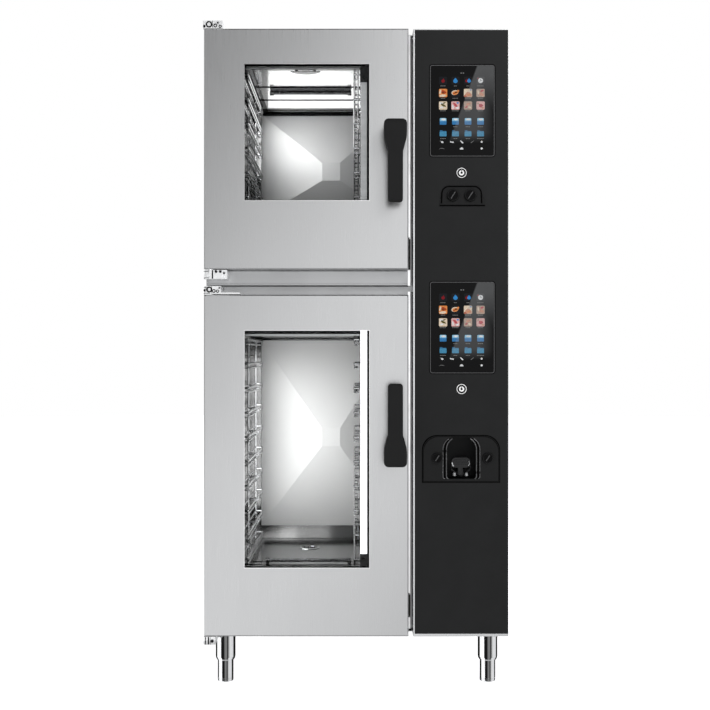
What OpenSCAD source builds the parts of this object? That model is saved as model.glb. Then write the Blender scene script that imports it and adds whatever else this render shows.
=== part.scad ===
// Combi steamer oven: two stacked steam-and-convection ovens that share one
// control column. Millimetres, +Z up, +X to the right seen from the front,
// -Y towards the cook. Origin: floor, centre of the footprint.

/* [What to draw] */

/* [Body] */
half_w     = 425;    // half of the 850 wide body
door_y     = -370;   // outer face of doors and control column
frame_y    = -316;   // outer face of the front frames behind the doors
back_y     = 405;    // rear panels
bottom_z   = 127.5;  // underside of the body, above the feet
top_z      = 1822;   // top of the body
lower_top  = 1094;   // top of the lower casing
upper_bot  = 1108;   // bottom of the upper casing
sheet      = 2;      // sheet metal thickness

/* [Oven chambers] */
ch_x0      = -352;   // inside faces of both chambers
ch_x1      = 60;
ch_back    = 328;
ch_r       = 16;     // rounded edges that run front to back
lo_floor   = 306;
lo_ceil    = 968;
up_floor   = 1343;
up_ceil    = 1725;
level_step = 70;     // tray levels
lo_levels  = 10;
up_levels  = 6;
level_0    = 22;     // first level above the chamber floor

/* [Doors] */
door_x0    = -425;
door_x1    = 146;
door_back  = -323;
lo_door_z0 = 127.5;
lo_door_z1 = 1081;
up_door_z0 = 1152.5;
up_door_z1 = 1824;
win_x0     = -311.6;
win_x1     = 36.5;
lo_win_z0  = 319;
lo_win_z1  = 981;
up_win_z0  = 1344.5;
up_win_z1  = 1724.8;
edge_bevel = 3;
hinge_x    = -412;   // door pivot line
hinge_y    = -357;
pin_r      = 6;
run_gap    = 0.05;   // radial running clearance
part_gap   = 0.4;    // gap between pieces that pass each other

/* [Light strips] */
led_x0     = 12;
led_x1     = 30;
led_cap    = 40;     // unlit block at one end

/* [Handles] */
handle_x   = 107.4;
up_pivot_z = 1528.5;
lo_pivot_z = 637;
handle_y   = -437;   // front of the lever
lever_t    = 22;     // lever thickness
shaft_r    = 6;

/* [Control column] */
col_x0     = 159.5;
col_x1     = 425;
panel_x0   = 163.8;
panel_x1   = 423.6;
panel_z0   = 135.3;
panel_z1   = 1819.7;
panel_t    = 4;
screen_x   = 296;
screen_w   = 180;
screen_h   = 255;
up_screen_z = 1594.5;
lo_screen_z = 989.5;
button_x   = 294;
up_button_z = 1421;
lo_button_z = 818;
button_r   = 14.5;
socket_z   = 1357;
shower_x   = 292.5;
shower_z   = 623;

/* [Fan and baffle] */
fan_x      = -83;
up_fan_z   = 1523;
lo_fan_z   = 640;
fan_r      = 95;
baffle_y   = 270;    // base of the pyramid
baffle_tip = 228;    // flat square in front
baffle_x0  = -318;
baffle_x1  = 27;

/* [Racks] */
rack_post  = 331;    // distance of the left posts from the origin line
rack_r_x   = 17;     // right posts
rack_in    = 22;     // how far the rungs reach inwards
rack_y0    = -290;
rack_y1    = 205;
post_d     = 8;
wire_d     = 6;

/* [Feet] */
foot_x     = 375.9;
foot_x_mid = 1.25;
foot_y0    = -280;
foot_y1    = 330;
sleeve_r   = 28.2;
insert_r   = 22.4;
sleeve_z   = 62;
body_lift  = 20;     // heights of all other pieces are given for feet screwed in by this much

/* [Colours] */
c_steel  = [0.74, 0.75, 0.76];
c_bright = [0.86, 0.87, 0.88];
c_black  = [0.10, 0.10, 0.11];
c_glass  = [0.30, 0.34, 0.36, 0.35];
c_rubber = [0.16, 0.16, 0.17];
c_brass  = [0.78, 0.62, 0.30];
c_white  = [0.95, 0.96, 0.98];
c_green  = [0.13, 0.32, 0.20];

$fn = 48;

// ---------- shapes used by several pieces ----------

// box from its two corners
module box(a, b) { translate(a) cube([b[0] - a[0], b[1] - a[1], b[2] - a[2]]); }

// round bar or hole along Y, Z or X, from one end to the other
module bar_y(x, z, y0, y1, r) { translate([x, y0, z]) rotate([-90, 0, 0]) cylinder(r = r, h = y1 - y0); }
module bar_z(x, y, z0, z1, r) { translate([x, y, z0]) cylinder(r = r, h = z1 - z0); }
module bar_x(y, z, x0, x1, r) { translate([x0, y, z]) rotate([0, 90, 0]) cylinder(r = r, h = x1 - x0); }

// rectangle with round corners, in the plane of the page
module round_rect(x0, x1, z0, z1, r) {
  translate([x0 + r, z0]) square([x1 - x0 - 2 * r, z1 - z0]);
  translate([x0, z0 + r]) square([x1 - x0, z1 - z0 - 2 * r]);
  for (x = [x0 + r, x1 - r]) for (z = [z0 + r, z1 - r]) translate([x, z]) circle(r = r);
}

// a front-view outline (x, z) given depth from y0 back to y1
module front_extrude(y0, y1) { translate([0, y1, 0]) rotate([90, 0, 0]) linear_extrude(height = y1 - y0) children(); }

module round_block(x0, x1, y0, y1, z0, z1, r) { front_extrude(y0, y1) round_rect(x0, x1, z0, z1, r); }

// block with bevelled front edges
module bevel_block(x0, x1, y0, y1, z0, z1, c) {
  intersection() {
    translate([0, 0, z0]) linear_extrude(height = z1 - z0)
      polygon([[x0, y1], [x0, y0 + c], [x0 + c, y0], [x1 - c, y0], [x1, y0 + c], [x1, y1]]);
    translate([x0, 0, 0]) rotate([90, 0, 90]) linear_extrude(height = x1 - x0)
      polygon([[y1, z0], [y1, z1], [y0 + c, z1], [y0, z1 - c], [y0, z0 + c], [y0 + c, z0]]);
  }
}

// ---------- casings, frames and chambers ----------

partition_x = 157;   // wall between the ovens and the control column
drain_x = -146;
drain_y = 29;
drain_r = 24;
pipe_r  = 15.5;      // steam and drain pipes inside the body
steam_y = 376;       // line of the upright pipes behind the chambers
steam_up_x = 20;
steam_lo_x = 100;
drain_side_x = -230;

module casing(z0, z1) {
  color(c_steel) difference() {
    union() {
      difference() {
        box([-half_w, frame_y + sheet, z0], [half_w, back_y - sheet, z1]);
        box([-half_w + sheet, frame_y, z0 + sheet], [half_w - sheet, back_y, z1 - sheet]);
      }
      box([partition_x, frame_y + 20, z0 + 1], [partition_x + sheet, back_y - sheet, z1 - 1]);
    }
    children();
  }
}

module lower_casing() casing(bottom_z, lower_top) {
  // bay of the cooling-air filter under the column
  box([180, -300, bottom_z - 1], [334, -120, bottom_z + 3]);
  // steam and drain pipes on their way between the ovens
  bar_z(steam_lo_x, steam_y, lower_top - 3, lower_top + 1, pipe_r + 0.5);
  bar_z(drain_side_x, steam_y, lower_top - 3, lower_top + 1, pipe_r + 0.5);
}

module upper_casing() casing(upper_bot, top_z) {
  bar_z(steam_lo_x, steam_y, upper_bot - 1, upper_bot + 3, pipe_r + 0.5);
  bar_z(drain_side_x, steam_y, upper_bot - 1, upper_bot + 3, pipe_r + 0.5);
  bar_z(steam_lo_x, steam_y, top_z - 3, top_z + 1, pipe_r + 0.5);
  bar_z(steam_up_x, steam_y, top_z - 3, top_z + 1, pipe_r + 0.5);
}

module rear_panel(z0, z1) {
  difference() {
    box([-half_w, back_y - sheet, z0], [half_w, back_y, z1]);
    // cooling slots behind the control column
    for (i = [0 : 11]) round_block(200, 380, back_y - 3, back_y + 1, z1 - 90 - i * 14, z1 - 84 - i * 14, 2.9);
  }
}

module rear_panels() color(c_steel) difference() {
  union() { rear_panel(bottom_z, lower_top); rear_panel(upper_bot, top_z); }
  for (x = inlet_x) bar_y(x, inlet_z, back_y - 3, back_y + 1, 14);
  bar_y(drain_out_x, drain_out_z, back_y - 3, back_y + 1, 24.5);
  bar_y(gland_x, gland_z, back_y - 3, back_y + 1, 16);
}

// front frame of one oven: plate behind the door, with the chamber mouth,
// a cup for the latch and a seal slot in the visible strip beside the door
module front_frame(z0, z1, floor_z, ceil_z, pivot_z, slot_z0, slot_z1) {
  strip_x1 = 154;
  color(c_steel) difference() {
    union() {
      box([-half_w, frame_y, z0], [strip_x1, frame_y + sheet, z1]);
      box([strip_x1 - sheet, frame_y + 1, z0 + sheet + part_gap], [strip_x1, frame_y + 20, z1 - sheet - part_gap]);
      bar_y(handle_x, pivot_z, frame_y + 1, frame_y + 34, 27);
    }
    round_block(ch_x0, ch_x1, frame_y - 1, frame_y + 4, floor_z, ceil_z, ch_r);
    bar_y(handle_x, pivot_z, frame_y - 1, frame_y + 32, 25);
    box([148.8, frame_y - 1, slot_z0], [151.6, frame_y + 4, slot_z1]);
  }
}

module lower_front_frame() front_frame(136, lower_top, lo_floor, lo_ceil, lo_pivot_z, 168, 238);
module upper_front_frame() front_frame(upper_bot, top_z, up_floor, up_ceil, up_pivot_z, 1153, 1247);

module chamber(floor_z, ceil_z, axis_z, steam_x) {
  color(c_bright) difference() {
    union() {
      round_block(ch_x0 - sheet, ch_x1 + sheet, frame_y + sheet, ch_back + sheet, floor_z - sheet, ceil_z + sheet, ch_r + sheet);
      // drain neck under the floor
      bar_z(drain_x, drain_y, floor_z - 40, floor_z - 1, drain_r + 3);
      // steam neck on top
      bar_z(steam_x, drain_y, ceil_z + 1, ceil_z + 22, pipe_r + 2);
    }
    round_block(ch_x0, ch_x1, frame_y + 1, ch_back, floor_z, ceil_z, ch_r);
    bar_z(drain_x, drain_y, floor_z - 41, floor_z + 1, drain_r);
    bar_z(steam_x, drain_y, ceil_z - 1, ceil_z + 23, pipe_r);
    bar_y(fan_x, axis_z, ch_back - 1, ch_back + 3, 9);
  }
  // studs that steady the racks, two high and two low on each wall
  color(c_bright) for (z = [floor_z + 60, ceil_z - 60]) for (y = [rack_y0 + 40, rack_y1 - 40]) {
    bar_x(y, z, ch_x0 - 1, -rack_post - post_d / 2 - 2, 5);
    bar_x(y, z, rack_r_x + post_d / 2 + 2, ch_x1 + 1, 5);
  }
}

module lower_chamber() chamber(lo_floor, lo_ceil, lo_fan_z, steam_lo_x - 60);
module upper_chamber() {
  chamber(up_floor, up_ceil, up_fan_z, steam_up_x);
  // half-round steam deflector under the ceiling, just inside the mouth
  color(c_bright) difference() {
    union() {
      bar_z(-144, frame_y - 7, up_ceil - 7, up_ceil - 5, 44);
      for (x = [-170, -118]) bar_z(x, frame_y + 12, up_ceil - 6, up_ceil + 1, 4);
    }
    box([-200, frame_y - 60, up_ceil - 9], [-90, frame_y + sheet + 1, up_ceil - 4]);
  }
}

module gasket(floor_z, ceil_z) {
  w = 13;
  difference() {
    union() {
      round_block(ch_x0 - 4 - w, ch_x1 + 4 + w, frame_y - 4, frame_y, floor_z - 4 - w, ceil_z + 4 + w, ch_r + w);
      round_block(ch_x0 - 7, ch_x1 + 7, door_back + part_gap, frame_y - 3, floor_z - 7, ceil_z + 7, ch_r + 5);
    }
    round_block(ch_x0 - 4, ch_x1 + 4, door_back - 1, frame_y + 1, floor_z - 4, ceil_z + 4, ch_r + 2);
  }
}

module door_gaskets() color(c_rubber) { gasket(lo_floor, lo_ceil); gasket(up_floor, up_ceil); }

// base rails inside the lower casing, the spacer ring between the two casings
// and, in front of it, the drip gutter under the upper door
module support_frames() color(c_steel) {
  for (x = [-foot_x + foot_x_mid, foot_x + foot_x_mid]) difference() {
    box([x - 25, foot_y0 - 30, bottom_z + sheet], [x + 25, foot_y1 + 30, bottom_z + sheet + 30]);
    box([x - 23, foot_y0 - 31, bottom_z + sheet + 2], [x + 23, foot_y1 + 31, bottom_z + sheet + 28]);
  }
  difference() {
    box([-half_w + 6, frame_y + 8, lower_top], [half_w - 6, back_y - 8, upper_bot]);
    box([-half_w + 46, frame_y + 48, lower_top - 1], [half_w - 46, back_y - 48, upper_bot + 1]);
    for (x = [steam_lo_x, drain_side_x]) bar_z(x, steam_y, lower_top - 1, upper_bot + 1, pipe_r + 0.5);
  }
  difference() {
    union() {
      box([-half_w + 6, -330, 1113], [146, frame_y, 1149]);
      box([-half_w + 6, -334, 1109.5], [146, frame_y, 1114]);
    }
    box([-half_w + 8, -328, 1116], [144, frame_y - 2, 1150]);
  }
}

// ---------- feet ----------

foot_top = bottom_z + body_lift;

module at_feet() {
  for (x = [-foot_x + foot_x_mid, foot_x + foot_x_mid]) for (y = [foot_y0, foot_y1]) translate([x, y, 0]) children();
}

module foot_sleeves() color(c_bright) at_feet() rotate_extrude(convexity = 4)
  polygon([[insert_r + part_gap, sleeve_z + 1], [insert_r + 3, sleeve_z], [sleeve_r - 1.5, sleeve_z + 3], [sleeve_r, sleeve_z + 8],
           [sleeve_r, foot_top], [0, foot_top], [0, foot_top - 5], [insert_r + part_gap, foot_top - 5]]);

module foot(x, y) color(c_bright) translate([x, y, 0]) {
  rotate_extrude() polygon([[0, 0], [insert_r - 2, 0], [insert_r - 0.5, 1], [insert_r, 3],
    [insert_r, foot_top - 5.4], [0, foot_top - 5.4]]);
}

module foot_front_left()  foot(-foot_x + foot_x_mid, foot_y0);
module foot_front_right() foot(foot_x + foot_x_mid, foot_y0);
module foot_rear_left()   foot(-foot_x + foot_x_mid, foot_y1);
module foot_rear_right()  foot(foot_x + foot_x_mid, foot_y1);

// ---------- doors ----------

// folded stainless shell with window openings in both faces,
// a bush for the latch shaft and two bushes for the hinge pins
module door_shell(z0, z1, w0, w1, pivot_z, tray_z) {
  color(c_steel) difference() {
    union() {
      difference() {
        bevel_block(door_x0, door_x1, door_y, door_back, z0, z1, edge_bevel);
        box([door_x0 + sheet, door_y + sheet, z0 + sheet], [door_x1 - sheet, door_back - sheet, z1 - sheet]);
      }
      bar_y(handle_x, pivot_z, door_y + 1, door_back - 1, 12);
      bar_z(hinge_x, hinge_y, z0 + 1, z0 + 22, 11.5);
      bar_z(hinge_x, hinge_y, z1 - 22, z1 - 1, 11.5);
    }
    box([win_x0, door_y - 1, w0], [win_x1, door_y + 3, w1]);
    round_block(win_x0 - 12, win_x1 + 8, door_back - 3, door_back + 1, w0 - 4, w1 + 4, 8);
    bar_y(handle_x, pivot_z, door_y - 1, door_back + 1, shaft_r + run_gap);
    bar_z(hinge_x, hinge_y, z0 - 1, z0 + 20, pin_r + run_gap);
    bar_z(hinge_x, hinge_y, z1 - 20, z1 + 1, pin_r + run_gap);
  }
}

module upper_door_shell() door_shell(up_door_z0, up_door_z1, up_win_z0, up_win_z1, up_pivot_z);
module lower_door_shell() door_shell(lo_door_z0, lo_door_z1, lo_win_z0, lo_win_z1, lo_pivot_z);

module outer_glass(w0, w1) color(c_glass)
  box([win_x0 - 14, door_y + sheet, w0 - 14], [win_x1 + 14, door_y + sheet + 5, w1 + 14]);
module upper_outer_glass() outer_glass(up_win_z0, up_win_z1);
module lower_outer_glass() outer_glass(lo_win_z0, lo_win_z1);

module inner_glass(w0, w1) color(c_glass)
  box([win_x0 - 26, door_back - sheet - 6, w0 - 18], [win_x1 + 22, door_back - sheet, w1 + 18]);
module upper_inner_glass() inner_glass(up_win_z0, up_win_z1);
module lower_inner_glass() inner_glass(lo_win_z0, lo_win_z1);

// light strip just inside the latch side of the window
led_y0 = door_y + sheet + 6;
led_y1 = door_back - sheet - 8;
module led_bar(z0, z1) color(c_white) round_block(led_x0, led_x1, led_y0 + 3, led_y1 - 6, z0, z1, 1);
module upper_led_bar() led_bar(up_win_z0 - 6, up_win_z1 - 48.5);
module lower_led_bar() led_bar(lo_win_z0 + 37.5, lo_win_z1 + 6);

// channel behind and beside the strip, with the unlit end block
module led_housing(z0, z1, cap_z0, cap_z1) color(c_black) {
  difference() {
    box([led_x0 - 1, led_y0 + 2, z0], [win_x1 + 6, led_y1, z1]);
    box([led_x0 - 2, led_y0 + 1, z0 - 1], [led_x1, led_y1 - 6, z1 + 1]);
  }
  box([led_x0 - 1, led_y0, cap_z0], [led_x1 + 1, led_y1 - 5, cap_z1]);
}
module upper_led_housing() led_housing(up_win_z0 - 10, up_win_z1 + 10, up_win_z1 - 48.5, up_win_z1 + 10);
module lower_led_housing() led_housing(lo_win_z0 - 10, lo_win_z1 + 10, lo_win_z0 - 10, lo_win_z0 + 37.5);

// ---------- handles ----------

pad_half  = 31.5;
stem_half = 20.5;

// lever outline, pivot at the origin, stem hanging down
module lever_outline() {
  round_rect(-pad_half, pad_half, -19, 31, 13);
  polygon([[-pad_half, -10], [-pad_half + 1.2, -22], [-stem_half - 3.5, -46], [-stem_half, -56],
           [stem_half, -56], [stem_half + 3.5, -46], [pad_half - 1.2, -22], [pad_half, -10]]);
  round_rect(-stem_half, stem_half, -197.5, -40, 9);
}

module lever_block() {
  // the lever thins towards the free end of its stem
  intersection() {
    front_extrude(handle_y, handle_y + lever_t + 8) lever_outline();
    translate([-50, 0, 0]) rotate([90, 0, 90]) linear_extrude(height = 100)
      polygon([[handle_y + 3, 32], [handle_y, 20], [handle_y, -60], [handle_y + 4, -190], [handle_y + 8, -199],
               [handle_y + lever_t - 6, -199], [handle_y + lever_t, -150], [handle_y + lever_t + 6, -40], [handle_y + lever_t + 6, 32]]);
  }
  // hub that stands off the door
  bar_y(0, 0, handle_y + lever_t, door_y - 4, 21);
  bar_y(0, 0, door_y - 8, door_y - 1, 25);
}

module handle_body() color(c_black) difference() {
  lever_block();
  bar_y(0, 0, handle_y + 12, door_y, shaft_r);
}

module upper_handle() translate([handle_x, 0, up_pivot_z]) handle_body();
module lower_handle() translate([handle_x, 0, lo_pivot_z]) mirror([0, 0, 1]) handle_body();

// shaft through the door and the hook that sits in the latch cup of the frame
module latch_body() color(c_bright) {
  bar_y(0, 0, handle_y + 12, frame_y + 14, shaft_r);
  difference() {
    front_extrude(frame_y + 10, frame_y + 20) {
      circle(r = 11);
      polygon([[-7, 0], [7, 0], [7, -14], [3, -20], [-7, -17]]);
    }
    bar_y(0, 0, frame_y + 9, frame_y + 11, 2);
  }
}
module upper_latch() translate([handle_x, 0, up_pivot_z]) latch_body();
module lower_latch() translate([handle_x, 0, lo_pivot_z]) mirror([0, 0, 1]) latch_body();

// ---------- hinges ----------

module hinge_pin(z0, z1) bar_z(hinge_x, hinge_y, z0, z1, pin_r);

module door_hinges() color(c_bright) {
  // above the upper door: block over the pin, leaf screwed on the casing top
  box([-427, -374, up_door_z1 + part_gap], [-372, frame_y + 4, 1845]);
  difference() {
    box([-427, frame_y + 3, top_z], [-325, frame_y + 60, top_z + 6]);
    for (x = [-400, -350]) bar_z(x, frame_y + 36, top_z - 1, top_z + 7, 3.3);
  }
  box([-372.5, -352, up_door_z1 + part_gap], [-325, frame_y + 4, top_z + 6]);
  hinge_pin(up_door_z1 - 17, up_door_z1 + 2);
  // below the upper door, carried by the drip gutter
  box([-410, -374, 1125], [-360, -330, up_door_z0 - part_gap - 2]);
  bar_z(hinge_x, hinge_y, 1125, up_door_z0 - part_gap, 14);
  hinge_pin(up_door_z0 - 2, up_door_z0 + 17);
  // above the lower door, fixed to the lower front frame
  bar_z(hinge_x, hinge_y, lo_door_z1 + part_gap, 1105, 14);
  box([-412, -371, 1084], [-378, frame_y, 1105]);
  box([-412, -366, 1083], [-325, frame_y, 1087.5]);
  hinge_pin(lo_door_z1 - 17, lo_door_z1 + 2);
  // below the lower door, fixed under the casing
  box([-426, -372, 105], [-393, -312, lo_door_z0 - part_gap]);
  box([-426, -314, 105], [-404, -230, bottom_z]);
  hinge_pin(lo_door_z0 - 2, lo_door_z0 + 17);
}

// ---------- control column ----------

module column_housing() color(c_steel) difference() {
  box([col_x0, door_y, bottom_z], [col_x1, frame_y + sheet, top_z]);
  box([panel_x0 - 0.3, door_y - 1, panel_z0 - 0.3], [panel_x1 + 0.3, frame_y + 3, panel_z1 + 0.3]);
}

module screen_outline(z) round_rect(screen_x - screen_w / 2, screen_x + screen_w / 2, z - screen_h / 2, z + screen_h / 2, 7);

socket_x0 = 234;
socket_x1 = 358;
module socket_outline() {
  round_rect(socket_x0, socket_x1, 1330, 1350, 2);
  round_rect(socket_x0 + 5, socket_x1 - 9, 1334, 1383, 20);
}

shower_x0 = 186;
shower_x1 = 399;
module shower_outline() {
  round_rect(shower_x0, shower_x1, 559, 600, 4);
  round_rect(shower_x0, shower_x1, 563, 687, 42);
}
recess_x0 = 242;
recess_x1 = 345;
module recess_outline() {
  round_rect(recess_x0, recess_x1, 567, 620, 5);
  round_rect(recess_x0, recess_x1, 572, 684, 34);
}

module column_panel() color(c_black) difference() {
  box([panel_x0, door_y, panel_z0], [panel_x1, door_y + panel_t, panel_z1]);
  front_extrude(door_y - 1, door_y + panel_t + 1) {
    screen_outline(up_screen_z);
    screen_outline(lo_screen_z);
    socket_outline();
    shower_outline();
  }
  for (z = [up_button_z, lo_button_z]) bar_y(button_x, z, door_y - 1, door_y + panel_t + 1, button_r);
}

// two identical glass touch screens, set flush in the panel
module touch_screens() color(c_black) for (z = [up_screen_z, lo_screen_z])
  round_block(screen_x - screen_w / 2 + 0.3, screen_x + screen_w / 2 - 0.3, door_y, door_y + 6,
              z - screen_h / 2 + 0.3, z + screen_h / 2 - 0.3, 6.7);

module power_button(z) color(c_black) {
  bar_y(button_x, z, door_y - 1.5, door_y + 8, button_r - run_gap);
  bar_y(button_x, z, door_y + 7, door_y + 16, 5);
}
module upper_power_button() power_button(up_button_z);
module lower_power_button() power_button(lo_button_z);

// round cap with a coin slot, turned a quarter to release
cap_slot_w = 4;
module coin_cap(x, z, r, y_front) color(c_black) translate([x, 0, z]) difference() {
  union() {
    bar_y(0, 0, y_front, y_front + 9, r);
    bar_y(0, 0, y_front + 8, y_front + 20, r - 7);
  }
  rotate([0, -57, 0]) box([-r + 4, y_front - 1, -cap_slot_w / 2], [r - 4, y_front + 3, cap_slot_w / 2]);
}

socket_cap_x = [270, 318.6];
socket_cap_r = 16;
module socket_plate() color(c_black) difference() {
  front_extrude(door_y - 2, door_y + 7) socket_outline();
  for (x = socket_cap_x) {
    bar_y(x, 1358, door_y - 3, door_y + 1, socket_cap_r + 1);
    bar_y(x, 1358, door_y, door_y + 8, socket_cap_r - 7 + run_gap);
  }
}
module socket_cap_left()  coin_cap(socket_cap_x[0], 1358, socket_cap_r, door_y - 8.5);
module socket_cap_right() coin_cap(socket_cap_x[1], 1358, socket_cap_r, door_y - 8.5);

shower_cap_x = [226, 367];
shower_cap_r = 14;
hose_z = 580;      // the hose runs straight back at this height
hose_r = 7;
recess_back = door_y + 58;
module shower_housing() color(c_black) difference() {
  union() {
    front_extrude(door_y - 2, door_y + 7) shower_outline();
    front_extrude(door_y + 6, recess_back + 3) round_rect(recess_x0 - 3, recess_x1 + 3, 564, 687, 8);
    bar_y(shower_x, hose_z, recess_back, -52, hose_r + 3);
  }
  front_extrude(door_y - 3, recess_back) recess_outline();
  bar_y(shower_x, hose_z, recess_back - 1, -51, hose_r + part_gap);
  for (x = shower_cap_x) {
    bar_y(x, 625.5, door_y - 3, door_y + 1, shower_cap_r + 1);
    bar_y(x, 625.5, door_y, door_y + 8, shower_cap_r - 7 + run_gap);
  }
}
module shower_cap_left()  coin_cap(shower_cap_x[0], 625.5, shower_cap_r, door_y - 8.5);
module shower_cap_right() coin_cap(shower_cap_x[1], 625.5, shower_cap_r, door_y - 8.5);

// hand shower: oval spray head, stem, elbow and the straight start of the hose
module shower_head() color([0.24, 0.24, 0.25]) {
  front_extrude(door_y + 6, door_y + 30) round_rect(shower_x - 26, shower_x + 26, 598, 626, 12);
  front_extrude(door_y + 2, door_y + 7) round_rect(shower_x - 20, shower_x + 20, 603, 621, 8);
  bar_z(shower_x, door_y + 20, hose_z, 600, 11);
  translate([shower_x, door_y + 20, hose_z]) sphere(r = 11);
  bar_y(shower_x, hose_z, door_y + 20, -50, hose_r);
}

// spring drum that takes the hose in; it turns as the head is pulled out
drum_y = -30;
wrap_r = 71;
drum_z = hose_z - wrap_r;
module hose_drum() color([0.20, 0.20, 0.21]) difference() {
  union() {
    bar_x(drum_y, drum_z, shower_x - 15, shower_x + 43, wrap_r - hose_r - 1.5);
    bar_x(drum_y, drum_z, shower_x - 16, shower_x - 11.5, 92);
    bar_x(drum_y, drum_z, shower_x + 42.5, shower_x + 47, 92);
    for (i = [0, 1]) translate([shower_x + 18 + 16 * i, drum_y, drum_z]) rotate([0, 90, 0])
      rotate_extrude() translate([wrap_r - 2.5, 0]) circle(r = hose_r);
  }
  bar_x(drum_y, drum_z, shower_x - 17, shower_x + 48, 8 + run_gap);
}

// chassis behind the panel: mounting plate, board boxes, axle of the drum
module control_chassis() color(c_green) {
  for (z = [[700, lower_top - 10], [upper_bot + 10, 1760]])
    box([partition_x + sheet, -120, z[0]], [half_w - sheet, -118, z[1]]);
  for (z = [760, 900, 1290, 1540]) difference() {
    box([190, -142, z], [394, -119, z + 125]);
    box([191.5, -140.5, z + 1.5], [392.5, -120, z + 123.5]);
  }
  box([shower_x + 52, drum_y - 40, drum_z - 40], [shower_x + 56, drum_y + 40, drum_z + 40]);
  box([shower_x + 55, drum_y - 40, drum_z - 40], [half_w - sheet, drum_y - 36, drum_z + 40]);
  bar_x(drum_y, drum_z, shower_x - 18, shower_x + 53, 8);
}

// slide-in filter of the cooling air, under the column
module air_filter() color(c_black) difference() {
  union() {
    box([181, -299, bottom_z - 0.5], [333, -121, bottom_z + 8]);
    box([301, -310, bottom_z - 4], [333, -280, bottom_z - 0.4]);
  }
  for (i = [0 : 8]) box([191, -276 + i * 16, bottom_z - 1], [323, -268 + i * 16, bottom_z + 9]);
}

// ---------- fans, heaters, baffles ----------

module fan(z) color(c_bright) {
  bar_y(fan_x, z, 314, 317, fan_r);
  bar_y(fan_x, z, 282, 315, 20);
  bar_y(fan_x, z, 316, 385, 7);
  for (i = [0 : 11]) translate([fan_x, 0, z]) rotate([0, i * 30, 0]) translate([56, 0, 0]) rotate([0, 28, 0])
    box([-2, 284, 0], [0.5, 315, 34]);
}
module upper_fan() fan(up_fan_z);
module lower_fan() fan(lo_fan_z);

module fan_motors() color([0.36, 0.37, 0.38]) for (z = [lo_fan_z, up_fan_z]) difference() {
  union() {
    bar_y(fan_x, z, 336, 396, 56);
    bar_y(fan_x, z, ch_back + sheet, 338, 70);
    for (a = [0 : 45 : 315]) translate([fan_x, 0, z]) rotate([0, a, 0]) box([-2, 345, 50], [2, 393, 61]);
  }
  bar_y(fan_x, z, ch_back, 388, 7 + run_gap);
}

module heater_rings() color([0.30, 0.29, 0.28]) for (z = [lo_fan_z, up_fan_z]) {
  for (y = [282, 296, 310]) translate([fan_x, y, z]) rotate([90, 0, 0]) rotate_extrude() translate([102, 0]) circle(r = 4.2);
  for (a = [40, 140]) translate([fan_x, 0, z]) rotate([0, a, 0]) bar_y(102, 0, 280, ch_back, 2.5);
}

// air baffle: a low pyramid with a flat square tip, on a folded rim
module baffle(z0, z1, tip_z) color(c_bright) difference() {
  union() {
    intersection() {
      hull() {
        box([fan_x - 30, baffle_tip, tip_z - 30], [fan_x + 30, baffle_tip + 1, tip_z + 30]);
        box([baffle_x0, baffle_y - 1, z0], [137, baffle_y, z1]);
      }
      box([baffle_x0, baffle_tip - 1, z0], [baffle_x1, baffle_y, z1]);
    }
    box([baffle_x0, baffle_y - 0.5, z0], [baffle_x1, baffle_y + 22, z1]);
  }
  intersection() {
    hull() {
      box([fan_x - 30, baffle_tip + 2, tip_z - 30], [fan_x + 30, baffle_tip + 3, tip_z + 30]);
      box([baffle_x0, baffle_y + 1, z0], [137, baffle_y + 2, z1]);
    }
    box([baffle_x0 + 2, baffle_tip - 1, z0 + 2], [baffle_x1 - 2, baffle_y + 2, z1 - 2]);
  }
  box([baffle_x0 + 2, baffle_y + 1.5, z0 + 2], [baffle_x1 - 2, baffle_y + 30, z1 - 2]);
}
module upper_baffle() baffle(up_floor + 34, up_ceil - 3, up_fan_z);
module lower_baffle() baffle(lo_floor + 34, lo_ceil - 6, lo_fan_z);

// ---------- racks ----------

// left rack; the right one is its mirror image
module rack(post_x, side, floor_z, ceil_z, levels) color(c_bright) {
  for (y = [rack_y0, (rack_y0 + rack_y1) / 2, rack_y1]) bar_z(post_x, y, floor_z + 0.4, ceil_z - 4, post_d / 2);
  in_x = post_x + side * rack_in;
  for (i = [0 : levels - 1]) {
    z = floor_z + level_0 + i * level_step;
    for (y = [rack_y0, (rack_y0 + rack_y1) / 2, rack_y1])
      bar_x(y, z, min(post_x, in_x), max(post_x, in_x), wire_d / 2);
    bar_y(in_x, z, rack_y0, rack_y1, wire_d / 2);
    for (y = [rack_y0, rack_y1]) translate([in_x, y, z]) sphere(r = wire_d / 2, $fn = 24);
    bar_y(post_x, z, rack_y0, rack_y1, wire_d / 2 - 0.5);
  }
}
module upper_rack_left()  rack(-rack_post, 1, up_floor, up_ceil, up_levels);
module upper_rack_right() rack(rack_r_x, -1, up_floor, up_ceil, up_levels);
module lower_rack_left()  rack(-rack_post, 1, lo_floor, lo_ceil, lo_levels);
module lower_rack_right() rack(rack_r_x, -1, lo_floor, lo_ceil, lo_levels);

// round bars across the chambers, each in a foot at both ends
module cross_bar(y, z, base_z) {
  bar_x(y, z, -262, -16, 4.5);
  for (x = [-258, -20]) {
    bar_x(y, z, x - 6, x + 6, 7);
    bar_z(x, y, min(z, base_z), max(z, base_z), 5);
  }
}
module cross_bars() color([0.45, 0.45, 0.46]) {
  cross_bar(-234, lo_floor + 10, lo_floor);
  cross_bar(-65, up_ceil - 10, up_ceil);
}

// ---------- services ----------

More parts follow.
